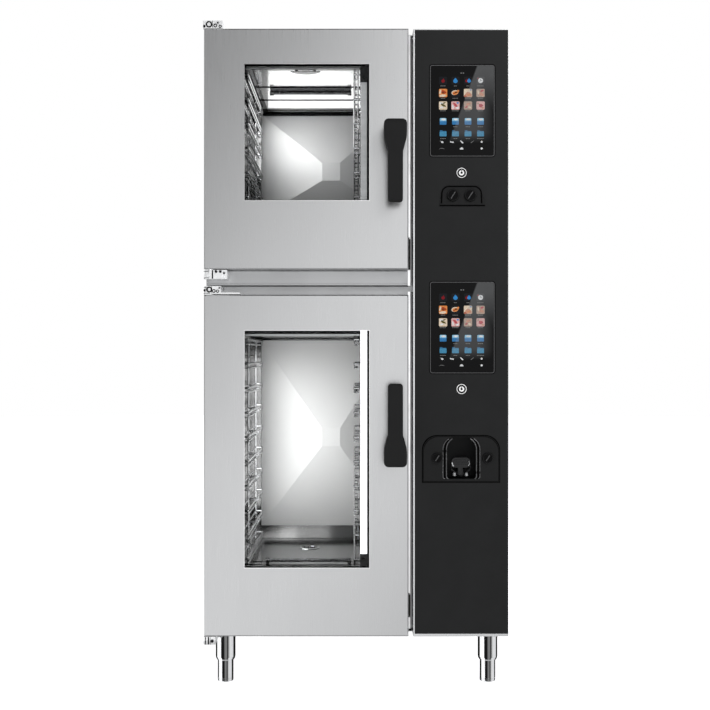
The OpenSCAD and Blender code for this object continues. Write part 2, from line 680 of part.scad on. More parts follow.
inlet_x = [250, 320];
inlet_z = 220;
inlet_r = 13.2;          // 3/4 inch pipe thread, outside
drain_out_x = -60;
drain_out_z = 200;
gland_x = 385;
gland_z = 220;
module water_inlets() color(c_brass) for (x = inlet_x) difference() {
  union() {
    bar_y(x, inlet_z, back_y - 10, back_y + 22, inlet_r);
    translate([x, back_y + 6, inlet_z]) rotate([90, 0, 0]) cylinder(r = 18, h = 6, $fn = 6);
  }
  bar_y(x, inlet_z, back_y - 11, back_y + 23, 9);
}

// drain line: both chamber necks run back and down to one outlet at the rear
drain_turn = 60;     // turns this far under each chamber floor
module drain_run(r) {
  module elbow(x, y, z) translate([x, y, z]) sphere(r = r + 0.6);
  // from the lower chamber
  bar_z(drain_x, drain_y, drain_out_z, lo_floor - 45, r);
  bar_y(drain_x, drain_out_z, drain_y, steam_y, r);
  elbow(drain_x, drain_y, drain_out_z);
  // from the upper chamber, down behind the lower one
  bar_z(drain_x, drain_y, up_floor - drain_turn, up_floor - 45, r);
  bar_x(drain_y, up_floor - drain_turn, drain_side_x, drain_x, r);
  bar_y(drain_side_x, up_floor - drain_turn, drain_y, steam_y, r);
  bar_z(drain_side_x, steam_y, drain_out_z, up_floor - drain_turn, r);
  elbow(drain_x, drain_y, up_floor - drain_turn);
  elbow(drain_side_x, drain_y, up_floor - drain_turn);
  elbow(drain_side_x, steam_y, up_floor - drain_turn);
  elbow(drain_side_x, steam_y, drain_out_z);
  bar_x(steam_y, drain_out_z, drain_side_x, drain_out_x, r);
}
module drain_pipe() color(c_steel) difference() {
  union() {
    drain_run(pipe_r);
    for (z = [lo_floor, up_floor]) bar_z(drain_x, drain_y, z - 50, z - 40, drain_r + 3);
    bar_y(drain_out_x, drain_out_z, steam_y - 18, back_y + 1, 24);
    bar_y(drain_out_x, drain_out_z, back_y, back_y + 22, 25);
  }
  drain_run(pipe_r - 2);
  for (z = [lo_floor, up_floor]) bar_z(drain_x, drain_y, z - 48, z - 39, drain_r);
  bar_y(drain_out_x, drain_out_z, steam_y - 16, back_y + 23, 22);
}

// steam pipes, up behind the chambers and out through the casing top
module steam_pipe(x, z0) {
  difference() {
    union() {
      bar_z(x, steam_y, z0, 1844, pipe_r);
      bar_z(x, steam_y, top_z, top_z + 3, 22);
    }
    bar_z(x, steam_y, z0 + 40, 1845, pipe_r - 1.5);
  }
}
module steam_pipes() color(c_steel) {
  steam_pipe(steam_up_x, up_ceil + 10);
  steam_pipe(steam_lo_x, lo_ceil + 10);
}

module cable_gland() color(c_black) difference() {
  union() {
    bar_y(gland_x, gland_z, back_y - 12, back_y + 20, 15.5);
    translate([gland_x, back_y + 8, gland_z]) rotate([90, 0, 0]) cylinder(r = 20, h = 8, $fn = 6);
  }
  bar_y(gland_x, gland_z, back_y - 13, back_y + 21, 10);
}

// screws: rear panels, hinge leaf, all the same pan-head screw
module pan_screw_y(x, z) {
  bar_y(x, z, back_y, back_y + 3, 5);
}
module fasteners() color(c_bright) {
  for (x = [-410, -205, 0, 205, 410]) for (z = [bottom_z + 14, lower_top - 14, upper_bot + 14, top_z - 14]) pan_screw_y(x, z);
  for (x = [-400, -350]) bar_z(x, frame_y + 36, top_z, top_z + 9, 3.2);
  for (x = [-400, -350]) bar_z(x, frame_y + 36, top_z + 6, top_z + 9, 5.5);
}

// ---------- assembly ----------

// everything above the feet
module lifted() translate([0, 0, body_lift]) children();

lifted() lower_casing();
lifted() upper_casing();
lifted() rear_panels();
lifted() lower_front_frame();
lifted() upper_front_frame();
lifted() lower_chamber();
lifted() upper_chamber();
lifted() door_gaskets();
lifted() support_frames();
foot_sleeves();
foot_front_left();
foot_front_right();
foot_rear_left();
foot_rear_right();
lifted() column_housing();
lifted() column_panel();
lifted() touch_screens();
lifted() upper_power_button();
lifted() lower_power_button();
lifted() socket_plate();
lifted() socket_cap_left();
lifted() socket_cap_right();
lifted() shower_housing();
lifted() shower_cap_left();
lifted() shower_cap_right();
lifted() shower_head();
lifted() hose_drum();
lifted() upper_door_shell();
lifted() upper_outer_glass();
lifted() upper_inner_glass();
lifted() upper_led_bar();
lifted() upper_led_housing();
lifted() upper_handle();
lifted() upper_latch();
lifted() lower_door_shell();
lifted() lower_outer_glass();
lifted() lower_inner_glass();
lifted() lower_led_bar();
lifted() lower_led_housing();
lifted() lower_handle();
lifted() lower_latch();
lifted() door_hinges();
lifted() upper_fan();
lifted() lower_fan();
lifted() fan_motors();
lifted() heater_rings();
lifted() upper_baffle();
lifted() lower_baffle();
lifted() upper_rack_left();
lifted() upper_rack_right();
lifted() lower_rack_left();
lifted() lower_rack_right();
lifted() cross_bars();
lifted() water_inlets();
lifted() drain_pipe();
lifted() steam_pipes();
lifted() cable_gland();
lifted() control_chassis();
lifted() air_filter();
lifted() fasteners();
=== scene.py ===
import math

import bmesh
import bpy
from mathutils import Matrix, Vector


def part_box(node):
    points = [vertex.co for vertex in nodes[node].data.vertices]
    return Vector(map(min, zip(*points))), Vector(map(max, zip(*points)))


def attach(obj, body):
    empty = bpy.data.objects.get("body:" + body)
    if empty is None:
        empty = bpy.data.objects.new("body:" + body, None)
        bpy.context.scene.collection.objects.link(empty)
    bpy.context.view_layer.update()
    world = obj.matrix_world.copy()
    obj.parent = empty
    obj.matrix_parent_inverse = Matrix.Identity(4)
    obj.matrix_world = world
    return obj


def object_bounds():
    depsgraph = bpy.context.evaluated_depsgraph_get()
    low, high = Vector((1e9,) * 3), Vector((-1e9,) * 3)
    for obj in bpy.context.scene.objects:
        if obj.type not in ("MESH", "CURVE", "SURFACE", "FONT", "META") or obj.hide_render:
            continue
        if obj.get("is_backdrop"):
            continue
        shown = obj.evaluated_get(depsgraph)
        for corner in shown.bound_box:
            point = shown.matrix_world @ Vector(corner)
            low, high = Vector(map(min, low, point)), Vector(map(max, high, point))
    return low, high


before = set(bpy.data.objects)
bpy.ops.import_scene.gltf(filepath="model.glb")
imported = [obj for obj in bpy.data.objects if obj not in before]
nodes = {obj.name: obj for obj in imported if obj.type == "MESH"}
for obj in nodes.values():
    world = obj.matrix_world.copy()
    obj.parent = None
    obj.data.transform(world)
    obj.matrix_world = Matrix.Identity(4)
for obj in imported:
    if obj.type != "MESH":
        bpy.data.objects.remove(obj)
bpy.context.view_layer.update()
scene = bpy.context.scene


# ---------------------------------------------------------------- materials
class Nodes:
    """Short helpers for the nodes of a material or of the room."""

    def __init__(self, owner):
        owner.use_nodes = True
        self.nt = owner.node_tree
        self.nt.nodes.clear()

    def node(self, kind, **props):
        n = self.nt.nodes.new(kind)
        for k, v in props.items():
            setattr(n, k, v)
        return n

    def link(self, a, b):
        self.nt.links.new(a, b)

    def ramp(self, fac, stops):
        r = self.node("ShaderNodeValToRGB")
        el = r.color_ramp.elements
        while len(el) < len(stops):
            el.new(0.5)
        for e, (p, c) in zip(el, stops):
            e.position = p
            e.color = (*c, 1.0) if len(c) == 3 else c
        self.link(fac, r.inputs[0])
        return r.outputs[0]

    def scale_value(self, fac, lo, hi, a=0.0, b=1.0, kind="LINEAR"):
        """Turns the range a to b of a value into lo to hi."""
        r = self.node("ShaderNodeMapRange", interpolation_type=kind)
        r.inputs["From Min"].default_value = a
        r.inputs["From Max"].default_value = b
        r.inputs["To Min"].default_value = lo
        r.inputs["To Max"].default_value = hi
        self.link(fac, r.inputs["Value"])
        return r.outputs[0]

    def math(self, op, a, b):
        n = self.node("ShaderNodeMath", operation=op)
        for i, v in enumerate((a, b)):
            if hasattr(v, "is_linked"):
                self.link(v, n.inputs[i])
            else:
                n.inputs[i].default_value = v
        return n.outputs[0]


class Mat(Nodes):
    """A material with a Principled shader."""

    def __init__(self, name, **values):
        self.m = bpy.data.materials.new(name)
        super().__init__(self.m)
        out = self.node("ShaderNodeOutputMaterial")
        self.b = self.node("ShaderNodeBsdfPrincipled")
        self.link(self.b.outputs[0], out.inputs[0])
        for k, v in values.items():
            self.set(k, v)

    def set(self, key, value):
        names = {
            "color": "Base Color", "metal": "Metallic", "spec": "Specular IOR Level",
            "coat": "Coat Weight", "coat_rough": "Coat Roughness", "trans": "Transmission Weight",
            "ior": "IOR", "emit": "Emission Color", "power": "Emission Strength",
        }
        s = self.b.inputs[names[key]]
        if key in ("color", "emit") and len(value) == 3:
            value = (*value, 1.0)
        s.default_value = value

    def coords(self, scale=(1, 1, 1), rot=(0, 0, 0)):
        tc = self.node("ShaderNodeTexCoord")
        mp = self.node("ShaderNodeMapping")
        mp.inputs["Scale"].default_value = scale
        mp.inputs["Rotation"].default_value = rot
        self.link(tc.outputs["Object"], mp.inputs["Vector"])
        return mp.outputs[0]

    def noise(self, scale, detail=3.0, coords=None, rough=0.5):
        n = self.node("ShaderNodeTexNoise")
        n.inputs["Scale"].default_value = scale
        n.inputs["Detail"].default_value = detail
        n.inputs["Roughness"].default_value = rough
        self.link(coords if coords is not None else self.coords(), n.inputs["Vector"])
        return n.outputs["Fac"]

    def place(self):
        """Coordinates of a point of the piece, one socket for each axis."""
        tc = self.node("ShaderNodeTexCoord")
        sep = self.node("ShaderNodeSeparateXYZ")
        self.link(tc.outputs["Object"], sep.inputs[0])
        return sep.outputs

    def mix(self, fac, a, b):
        n = self.node("ShaderNodeMix", data_type="RGBA", blend_type="MIX")
        for s, v in ((n.inputs[0], fac), (n.inputs[6], a), (n.inputs[7], b)):
            if hasattr(v, "is_linked"):
                self.link(v, s)
            else:
                s.default_value = (*v, 1.0) if isinstance(v, tuple) and len(v) == 3 else v
        return n.outputs[2]

    def color(self, socket):
        self.link(socket, self.b.inputs["Base Color"])

    def roughness(self, socket):
        self.link(socket, self.b.inputs["Roughness"])

    def bump(self, height, strength, distance):
        n = self.node("ShaderNodeBump")
        n.inputs["Strength"].default_value = strength
        n.inputs["Distance"].default_value = distance
        self.link(height, n.inputs["Height"])
        self.link(n.outputs[0], self.b.inputs["Normal"])


def tint(c, k):
    return tuple(min(1.0, v * k) for v in c[:3])


def steel(name, base, rough, grain, marks=0.5):
    """Stainless sheet: fine grain along one direction, faint cloudiness and a few wipe marks."""
    m = Mat(name, metal=1.0)
    fine = m.noise(1.0, 4.0, m.coords(grain), 0.62)
    cloud = m.noise(2.2, 3.0)
    wipe = m.noise(9.0, 5.0, m.coords((1.0, 1.0, 0.35), (0.2, 0.5, 0.3)), 0.65)
    grainy = m.ramp(fine, [(0.25, tint(base, 0.93)), (0.5, base), (0.8, tint(base, 1.05))])
    m.color(m.mix(m.scale_value(cloud, 0.0, 0.28, 0.35, 0.7), grainy, tint(base, 0.93)))
    r = m.scale_value(fine, rough - 0.05, rough + 0.06, 0.25, 0.75)
    r = m.math("ADD", r, m.scale_value(wipe, -0.03 * marks, 0.07 * marks, 0.45, 0.7))
    m.roughness(r)
    m.bump(fine, 0.05, 0.00025)
    return m.m


def plastic(name, base, rough, spark=0.5, texture=0.0, spec=0.17):
    """Moulded plastic: fine spark-eroded texture with slightly uneven gloss."""
    m = Mat(name, spec=spec)
    fine = m.noise(1500.0, 2.0)
    cloud = m.noise(14.0, 3.0)
    m.color(m.mix(m.scale_value(cloud, 0.0, 0.6, 0.35, 0.7), base, tint(base, 1.35)))
    r = m.scale_value(cloud, rough - 0.04, rough + 0.06, 0.3, 0.7)
    r = m.math("ADD", r, m.scale_value(fine, -0.03 * spark, 0.05 * spark, 0.3, 0.7))
    m.roughness(r)
    m.bump(m.noise(1100.0, 3.0), 0.06 + texture, 0.0003)
    return m.m


def plain(name, base, rough=0.4, metal=0.0, spec=0.3, vary=0.12):
    """Small part with a fine uneven surface."""
    m = Mat(name, metal=metal, spec=spec)
    n = m.noise(160.0, 3.0)
    m.color(m.mix(m.scale_value(n, 0.0, 1.0, 0.35, 0.7), tint(base, 1 - vary), tint(base, 1 + vary)))
    m.roughness(m.scale_value(n, rough - 0.05, rough + 0.06, 0.3, 0.7))
    m.bump(n, 0.04, 0.0002)
    return m.m


VERT, HORZ = (1100.0, 1100.0, 9.0), (9.0, 1100.0, 1100.0)
M = {}
M["door"] = steel("door_steel", (0.68, 0.683, 0.685), 0.30, VERT, 0.15)
M["casing"] = steel("casing_steel", (0.62, 0.625, 0.63), 0.38, VERT, 0.5)
M["frame"] = steel("frame_steel", (0.58, 0.585, 0.59), 0.36, HORZ)
# chamber walls are given a steel far darker than real stainless: painted shade that keeps the chambers dim
M["chamber"] = steel("chamber_steel", (0.12, 0.12, 0.12), 0.12, (900.0, 12.0, 900.0), 0.3)
M["baffle"] = steel("baffle_steel", (0.50, 0.50, 0.50), 0.70, (1100.0, 1100.0, 14.0), 0.2)
M["trim"] = steel("trim_steel", (0.86, 0.865, 0.87), 0.24, VERT, 0.2)


def polished(name, base, rough):
    """Polished metal with faint streaks and clouds."""
    m = Mat(name, metal=1.0)
    fine = m.noise(320.0, 3.0, m.coords((1.0, 1.0, 0.15)))
    cloud = m.noise(30.0, 4.0)
    m.color(m.mix(m.scale_value(cloud, 0.0, 0.5, 0.35, 0.7), base, tint(base, 0.9)))
    streaks = m.scale_value(fine, rough - 0.03, rough + 0.05, 0.3, 0.7)
    m.roughness(m.math("ADD", streaks, m.scale_value(cloud, 0.0, 0.05, 0.4, 0.7)))
    m.bump(fine, 0.03, 0.0002)
    return m.m


M["chrome"] = polished("polished_steel", (0.80, 0.805, 0.81), 0.14)
M["wire"] = polished("rack_wire", (0.52, 0.52, 0.53), 0.13)
M["hinge"] = plain("hinge_steel", (0.88, 0.885, 0.89), 0.24, 0.35, 0.5, 0.04)
M["foot"] = polished("foot_chrome", (0.88, 0.885, 0.89), 0.07)
M["bar"] = polished("bar_steel", (0.16, 0.16, 0.165), 0.22)
# brighter copy of the chamber steel for the upper ceiling: painted light
M["ceiling"] = polished("ceiling_steel_painted_bright", (0.80, 0.80, 0.80), 0.10)
M["brass"] = polished("brass", (0.76, 0.56, 0.26), 0.26)
M["panel"] = plastic("panel_black", (0.0105, 0.0108, 0.0112), 0.46, 0.4)
M["dark"] = plastic("dark_plastic", (0.0095, 0.0097, 0.0100), 0.40)
M["recess"] = plastic("recess_plastic", (0.0080, 0.0082, 0.0085), 0.46)
M["cap"] = plastic("cap_black", (0.0022, 0.0022, 0.0024), 0.42, spec=0.07)
M["head"] = plastic("shower_black", (0.0085, 0.0087, 0.0092), 0.24, 0.3, 0.0, 0.35)
M["lever"] = plastic("lever_black", (0.0080, 0.0080, 0.0083), 0.42, 0.8, 0.04)
M["grey"] = plastic("grey_plastic", (0.060, 0.062, 0.066), 0.38)
M["motor"] = plastic("motor_paint", (0.10, 0.11, 0.12), 0.5, 1.0, 0.2)
M["zinc"] = steel("zinc_sheet", (0.52, 0.54, 0.55), 0.42, (40.0, 40.0, 40.0), 2.0)


def rubber():
    m = Mat("seal_rubber", spec=0.3)
    n = m.noise(300.0, 3.0)
    cloud = m.noise(18.0, 3.0)
    m.color(m.ramp(cloud, [(0.3, (0.022, 0.022, 0.023)), (0.75, (0.040, 0.040, 0.042))]))
    m.roughness(m.scale_value(n, 0.55, 0.75, 0.3, 0.7))
    m.bump(n, 0.15, 0.0004)
    return m.m


M["rubber"] = rubber()


def heater():
    m = Mat("heater_metal", metal=0.7)
    n = m.noise(60.0, 4.0)
    m.color(m.ramp(n, [(0.3, (0.09, 0.075, 0.065)), (0.55, (0.20, 0.15, 0.11)), (0.8, (0.26, 0.24, 0.24))]))
    m.roughness(m.scale_value(n, 0.45, 0.7, 0.3, 0.7))
    m.bump(m.noise(500.0), 0.1, 0.0003)
    return m.m


M["heater"] = heater()


def pane(name, color):
    m = Mat(name, trans=1.0, ior=1.06, color=color)
    smear = m.noise(5.0, 4.0, m.coords((1.0, 1.0, 0.4), (0.0, 0.4, 0.0)), 0.6)
    m.roughness(m.scale_value(smear, 0.0, 0.035, 0.5, 0.75))
    return m.m


M["pane"] = pane("window_glass", (0.985, 0.99, 0.988))


def screen_glass():
    m = Mat("screen_black", color=(0.004, 0.004, 0.005), spec=0.06, coat=0.04, coat_rough=0.03)
    smear = m.noise(16.0, 4.0, m.coords((1.0, 1.0, 0.5), (0.0, 0.6, 0.0)), 0.6)
    m.color(m.ramp(smear, [(0.35, (0.0012, 0.0012, 0.0016)), (0.8, (0.0025, 0.0025, 0.003))]))
    m.roughness(m.scale_value(smear, 0.05, 0.16, 0.4, 0.75))
    return m.m


M["screen"] = screen_glass()


def strip(name, dark, light, power):
    """Diffuser of the light strip: milky, with the soft dots of the diodes behind it."""
    m = Mat(name, spec=0.4)
    dots = m.noise(60.0, 1.0, m.coords((0.6, 0.6, 1.0)))
    c = m.ramp(dots, [(0.3, dark), (0.7, light)])
    m.color(c)
    m.link(c, m.b.inputs["Emission Color"])
    m.set("power", power)
    m.roughness(m.scale_value(dots, 0.3, 0.4, 0.3, 0.7))
    return m.m


# the switched-off strip still glows faintly: painted light that lifts it to a pale grey
M["strip_off"] = strip("light_strip_off_painted_glow", (0.34, 0.345, 0.35), (0.40, 0.405, 0.41), 0.12)
M["strip_on"] = strip("light_strip_on", (0.95, 0.96, 1.0), (1.0, 1.0, 1.0), 3.0)

CAPS = ("socket_cap_left", "socket_cap_right", "shower_cap_left", "shower_cap_right")
BUTTONS = ("upper_power_button", "lower_power_button")
FEET = ("foot_front_left", "foot_front_right", "foot_rear_left", "foot_rear_right")

LOOKS = {
    "casing": "lower_casing upper_casing rear_panels drain_pipe",
    "frame": "support_frames lower_front_frame upper_front_frame",
    "trim": "column_housing",
    "chrome": "steam_pipes upper_latch lower_latch fasteners",
    "door": "upper_door_shell lower_door_shell",
    "chamber": "lower_chamber upper_chamber upper_fan lower_fan",
    "baffle": "upper_baffle lower_baffle",
    "foot": "foot_sleeves foot_front_left foot_front_right foot_rear_left foot_rear_right",
    "hinge": "door_hinges",
    "wire": "upper_rack_left upper_rack_right lower_rack_left lower_rack_right",
    "bar": "cross_bars",
    "panel": "column_panel",
    "screen": "touch_screens",
    "lever": "upper_handle lower_handle",
    "dark": "upper_power_button lower_power_button upper_led_housing lower_led_housing "
            "cable_gland air_filter",
    "recess": "socket_plate shower_housing",
    "cap": "socket_cap_left socket_cap_right shower_cap_left shower_cap_right",
    "head": "shower_head",
    "grey": "hose_drum",
    "strip_off": "upper_led_bar",
    "strip_on": "lower_led_bar",
    "pane": "upper_outer_glass upper_inner_glass lower_outer_glass lower_inner_glass",
    "rubber": "door_gaskets",
    "brass": "water_inlets",
    "heater": "heater_rings",
    "motor": "fan_motors",
    "zinc": "control_chassis",
}
for look, names in LOOKS.items():
    for name in names.split():
        obj = nodes[name]
        if not obj.material_slots:
            obj.data.materials.append(M[look])
        for slot in obj.material_slots:
            slot.material = M[look]


# ---------------------------------------------------------------- edges
def soften(name, width, segments, angle):
    """Rounds the edges of a CAD node sharper than the angle, in metres and degrees."""
    o = nodes[name]
    w = o.modifiers.new("weld", "WELD")
    w.merge_threshold = 0.00002
    b = o.modifiers.new("edges", "BEVEL")
    b.width = width
    b.segments = segments
    b.limit_method = "ANGLE"
    b.angle_limit = math.radians(angle)
    b.harden_normals = True
    b.miter_outer = "MITER_ARC"


SHEET_PARTS = ("column_panel", "socket_plate", "shower_housing", "support_frames",
               "door_hinges", "column_housing")
for names, width, segments, angle in (
        (("upper_door_shell", "lower_door_shell") + CAPS + BUTTONS, 0.0007, 2, 32),
        (("upper_handle", "lower_handle"), 0.0028, 4, 25),
        (SHEET_PARTS, 0.0006, 2, 32),
        (("touch_screens",), 0.0009, 2, 32),
        (("shower_head",), 0.002, 3, 32)):
    for name in names:
        soften(name, width, segments, angle)


# ---------------------------------------------------------------- mesh helpers
# pieces are written in millimetres of the part's own drawing; UP is how far its feet raise it
DOOR_BOTTOM = 0.1275      # lower edge of the lower door in the drawing, in metres
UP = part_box("lower_door_shell")[0].z - DOOR_BOTTOM
FACE = -370.0             # front of the doors and the column panel


def drawn(name):
    """Centre, least y and width of a CAD node, in millimetres of the drawing."""
    lo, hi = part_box(name)
    return 500 * (lo.x + hi.x), 500 * (lo.z + hi.z) - 1000 * UP, 1000 * lo.y, 1000 * (hi.x - lo.x)


class Build:
    """Collects faces for one piece made of many small solids."""

    def __init__(self):
        self.v, self.f = [], []

    def add(self, verts, faces):
        k = len(self.v)
        self.v += [tuple(v) for v in verts]
        self.f += [[i + k for i in f] for f in faces]

    def plate(self, outline, y0, y1, chamfer=0.0):
        """Solid from an (x, z) outline, between depths y0 (front) and y1, with the front edge chamfered."""
        n = len(outline)
        cx = sum(p[0] for p in outline) / n
        cz = sum(p[1] for p in outline) / n
        span = max(max(abs(p[0] - cx) for p in outline), max(abs(p[1] - cz) for p in outline))
        k = 1 - chamfer / span if chamfer else 1.0
        rings = [[(cx + (x - cx) * k, y0, cz + (z - cz) * k) for x, z in outline]]
        if chamfer:
            rings.append([(x, y0 + chamfer, z) for x, z in outline])
        rings.append([(x, y1, z) for x, z in outline])
        verts = [v for r in rings for v in r]
        faces = [list(range(n)), list(reversed(range(n * (len(rings) - 1), n * len(rings))))]
        for r in range(len(rings) - 1):
            for i in range(n):
                a, b = r * n + i, r * n + (i + 1) % n
                faces.append([a, a + n, b + n, b])
        self.add(verts, faces)

    def ring(self, outer, inner, y0, y1):
        """Flat frame between two outlines with the same number of points."""
        n = len(outer)
        verts = [(x, y0, z) for x, z in outer] + [(x, y0, z) for x, z in inner]
        verts += [(x, y1, z) for x, z in outer] + [(x, y1, z) for x, z in inner]
        faces = []
        for i in range(n):
            j = (i + 1) % n
            faces += [[i, j, n + j, n + i], [2 * n + i, 3 * n + i, 3 * n + j, 2 * n + j],
                      [i, 2 * n + i, 2 * n + j, j], [n + i, n + j, 3 * n + j, 3 * n + i]]
        self.add(verts, faces)

    def tube(self, path, r, sides=8):
        """Round bar along a list of points."""
        pts = [Vector(p) for p in path]
        rings = []
        up = Vector((0.0, 0.0, 1.0))
        for i, p in enumerate(pts):
            d = (pts[min(i + 1, len(pts) - 1)] - pts[max(i - 1, 0)]).normalized()
            a = d.cross(up)
            if a.length < 1e-3:
                a = d.cross(Vector((1.0, 0.0, 0.0)))
            a.normalize()
            b = d.cross(a).normalized()
            turns = [2 * math.pi * k / sides for k in range(sides)]
            rings.append([p + (a * math.cos(t) + b * math.sin(t)) * r for t in turns])
        verts = [v for q in rings for v in q]
        faces = []
        for i in range(len(rings) - 1):
            for k in range(sides):
                a, b = i * sides + k, i * sides + (k + 1) % sides
                faces.append([a, b, b + sides, a + sides])
        faces.append(list(reversed(range(sides))))
        faces.append(list(range((len(rings) - 1) * sides, len(rings) * sides)))
        self.add(verts, faces)

    def box(self, x0, x1, y0, y1, z0, z1):
        """Plain block between two corners, for shadow strips and seams."""
        self.add([(x, y, z) for z in (z0, z1) for x, y in ((x0, y0), (x1, y0), (x1, y1), (x0, y1))],
                 [[0, 3, 2, 1], [4, 5, 6, 7], [0, 1, 5, 4], [1, 2, 6, 5], [2, 3, 7, 6], [3, 0, 4, 7]])

    def lathe(self, centre, axis, profile, sides=32):
        """Turned solid: profile is (distance along axis, radius) from one end to the other."""
        c, d = Vector(centre), Vector(axis).normalized()
        a = d.cross(Vector((0.0, 0.0, 1.0)))
        if a.length < 1e-3:
            a = d.cross(Vector((1.0, 0.0, 0.0)))
        a.normalize()
        b = d.cross(a)
        verts, faces = [], []
        for h, r in profile:
            for k in range(sides):
                t = 2 * math.pi * k / sides
                verts.append(c + d * h + (a * math.cos(t) + b * math.sin(t)) * r)
        for i in range(len(profile) - 1):
            for k in range(sides):
                p, q = i * sides + k, i * sides + (k + 1) % sides
                faces.append([p, q, q + sides, p + sides])
        faces.append(list(reversed(range(sides))))
        faces.append(list(range((len(profile) - 1) * sides, len(profile) * sides)))
        self.add(verts, faces)

    def done(self, name, mat, body):
        """Makes the collected faces one piece in metres that rides on a body or node."""
        me = bpy.data.meshes.new(name)
        me.from_pydata([(v[0] / 1000, v[1] / 1000, v[2] / 1000 + UP) for v in self.v], [], self.f)
        me.validate()
        me.update()
        me.materials.append(mat)
        o = bpy.data.objects.new(name, me)
        scene.collection.objects.link(o)
        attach(o, body)
        bm = bmesh.new()
        bm.from_mesh(me)
        bmesh.ops.recalc_face_normals(bm, faces=bm.faces)
        bm.to_mesh(me)
        bm.free()


def arc(cx, cz, r, a0, a1, n):
    """Points on a circle from one angle to another, in degrees and in n equal steps."""
    turns = [math.radians(a0 + (a1 - a0) * i / n) for i in range(n + 1)]
    return [(cx + r * math.cos(t), cz + r * math.sin(t)) for t in turns]


def rounded(x0, x1, z0, z1, r, n=6):
    """Outline of a rectangle with round corners."""
    corners = ((x1 - r, z1 - r, 0), (x0 + r, z1 - r, 90), (x0 + r, z0 + r, 180), (x1 - r, z0 + r, 270))
    return [p for cx, cz, a in corners for p in arc(cx, cz, r, a, a + 90, n)]


def oblong(x0, x1, z0, z1):
    """Outline of a rectangle with sharp corners."""
    return [(x0, z0), (x1, z0), (x1, z1), (x0, z1)]


def at(x, z, points):
    """Outline moved so that its middle is at a place."""
    return [(x + dx, z + dz) for dx, dz in points]


def circle(cx, cz, r, n):
    return arc(cx, cz, r, 0, 360, n)[:-1]


# ---------------------------------------------------------------- world, floor, lights, camera
scene.view_settings.view_transform = "Standard"
scene.view_settings.look = "None"
scene.view_settings.exposure = 0.0

world = bpy.data.worlds.new("studio")
scene.world = world
room = Nodes(world)


def towards(direction):
    """Dot product of the looked-at direction with a fixed one."""
    n = room.node("ShaderNodeVectorMath", operation="DOT_PRODUCT")
    n.inputs[1].default_value = Vector(direction).normalized()
    room.link(looked_at, n.inputs[0])
    return n.outputs["Value"]


def zone(direction, a, b, lo, hi):
    """Soft step from lo to hi where the looked-at direction comes near a fixed one."""
    return room.scale_value(towards(direction), lo, hi, a, b, "SMOOTHSTEP")


# the room: a grey slope from upper left to lower right, white low at both sides and dark low behind
SIDE_LEVEL, RIGHT_LESS, ROOM_LEVEL = 1.15, 0.42, 1.12
SLOPE = (0.80, 0.0, -0.60)
SLOPE_LEVELS = [(-1.0, 0.50), (-0.50, 0.08), (-0.36, 0.02), (-0.24, 0.22), (-0.13, 0.74),
                (-0.03, 1.17), (0.05, 1.15), (0.24, 0.46), (0.6, 0.50), (1.0, 0.5)]
looked_at = room.node("ShaderNodeTexCoord").outputs["Generated"]
along = room.math("ADD", room.math("MULTIPLY", towards(SLOPE), 0.5), 0.5)
slope = room.ramp(along, [((p + 1) / 2, (v, v, v)) for p, v in SLOPE_LEVELS])
low = zone((0.0, 0.0, -1.0), 0.06, 0.21, 0.0, 1.0)
behind = zone((0.0, 1.0, 0.0), 0.16, 0.42, 0.0, 0.985)
behind = room.math("SUBTRACT", 1.0, room.math("MULTIPLY", low, behind))
overhead = zone((0.0, 0.0, 1.0), 0.55, 0.90, 1.0, 0.38)
right = zone((1.0, 0.0, 0.0), 0.45, 0.65, 0.0, 1.0)
left = zone((-1.0, 0.0, 0.0), 0.45, 0.65, 0.0, 1.0)
sides = room.math("MULTIPLY", room.math("MAXIMUM", right, left), low)
level = room.math("MULTIPLY", slope, room.math("SUBTRACT", 1.0, sides))
side_light = room.math("SUBTRACT", SIDE_LEVEL, room.math("MULTIPLY", right, RIGHT_LESS))
level = room.math("ADD", level, room.math("MULTIPLY", sides, side_light))
level = room.math("MULTIPLY", room.math("MULTIPLY", level, behind), overhead)
level = room.math("MULTIPLY", level, ROOM_LEVEL)

# the camera itself sees plain white
seen = room.node("ShaderNodeBackground")
seen.inputs[0].default_value = (1.0, 1.0, 1.0, 1.0)
seen.inputs[1].default_value = 1.0
light = room.node("ShaderNodeBackground")
light.inputs[0].default_value = (0.985, 0.99, 1.0, 1.0)
room.link(level, light.inputs[1])
either = room.node("ShaderNodeMixShader")
room.link(room.node("ShaderNodeLightPath").outputs["Is Camera Ray"], either.inputs[0])
room.link(light.outputs[0], either.inputs[1])
room.link(seen.outputs[0], either.inputs[2])
room.link(either.outputs[0], room.node("ShaderNodeOutputWorld").inputs[0])


def floor_mat():
    m = Mat("floor_pale", color=(0.93, 0.93, 0.93), spec=0.1)
    n = m.noise(3.0, 2.0)
    m.color(m.ramp(n, [(0.3, (0.925, 0.925, 0.925)), (0.7, (0.94, 0.94, 0.94))]))
    m.roughness(m.scale_value(n, 0.75, 0.85, 0.3, 0.7))
    m.set("emit", (1.0, 1.0, 1.0))
    m.set("power", 0.80)
    return m.m


FLOOR_R, FLOOR_SIDES = 14, 48
me = bpy.data.meshes.new("floor")
rim = [(x, y, 0.0) for x, y in circle(0.0, 0.0, FLOOR_R, FLOOR_SIDES)]
me.from_pydata(rim, [], [list(range(FLOOR_SIDES))])
floor = bpy.data.objects.new("floor", me)
me.materials.append(floor_mat())
scene.collection.objects.link(floor)
floor.visible_glossy = False
floor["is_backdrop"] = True


def area(name, loc, look, size, power, spread=180.0):
    """Rectangular light of some watts at a place, turned to another."""
    d = bpy.data.lights.new(name, "AREA")
    d.shape = "RECTANGLE"
    d.size, d.size_y = size
    d.energy = power
    d.spread = math.radians(spread)
    o = bpy.data.objects.new(name, d)
    o.location = loc
    o.rotation_euler = (Vector(look) - Vector(loc)).to_track_quat("-Z", "Y").to_euler()
    scene.collection.objects.link(o)
    return o


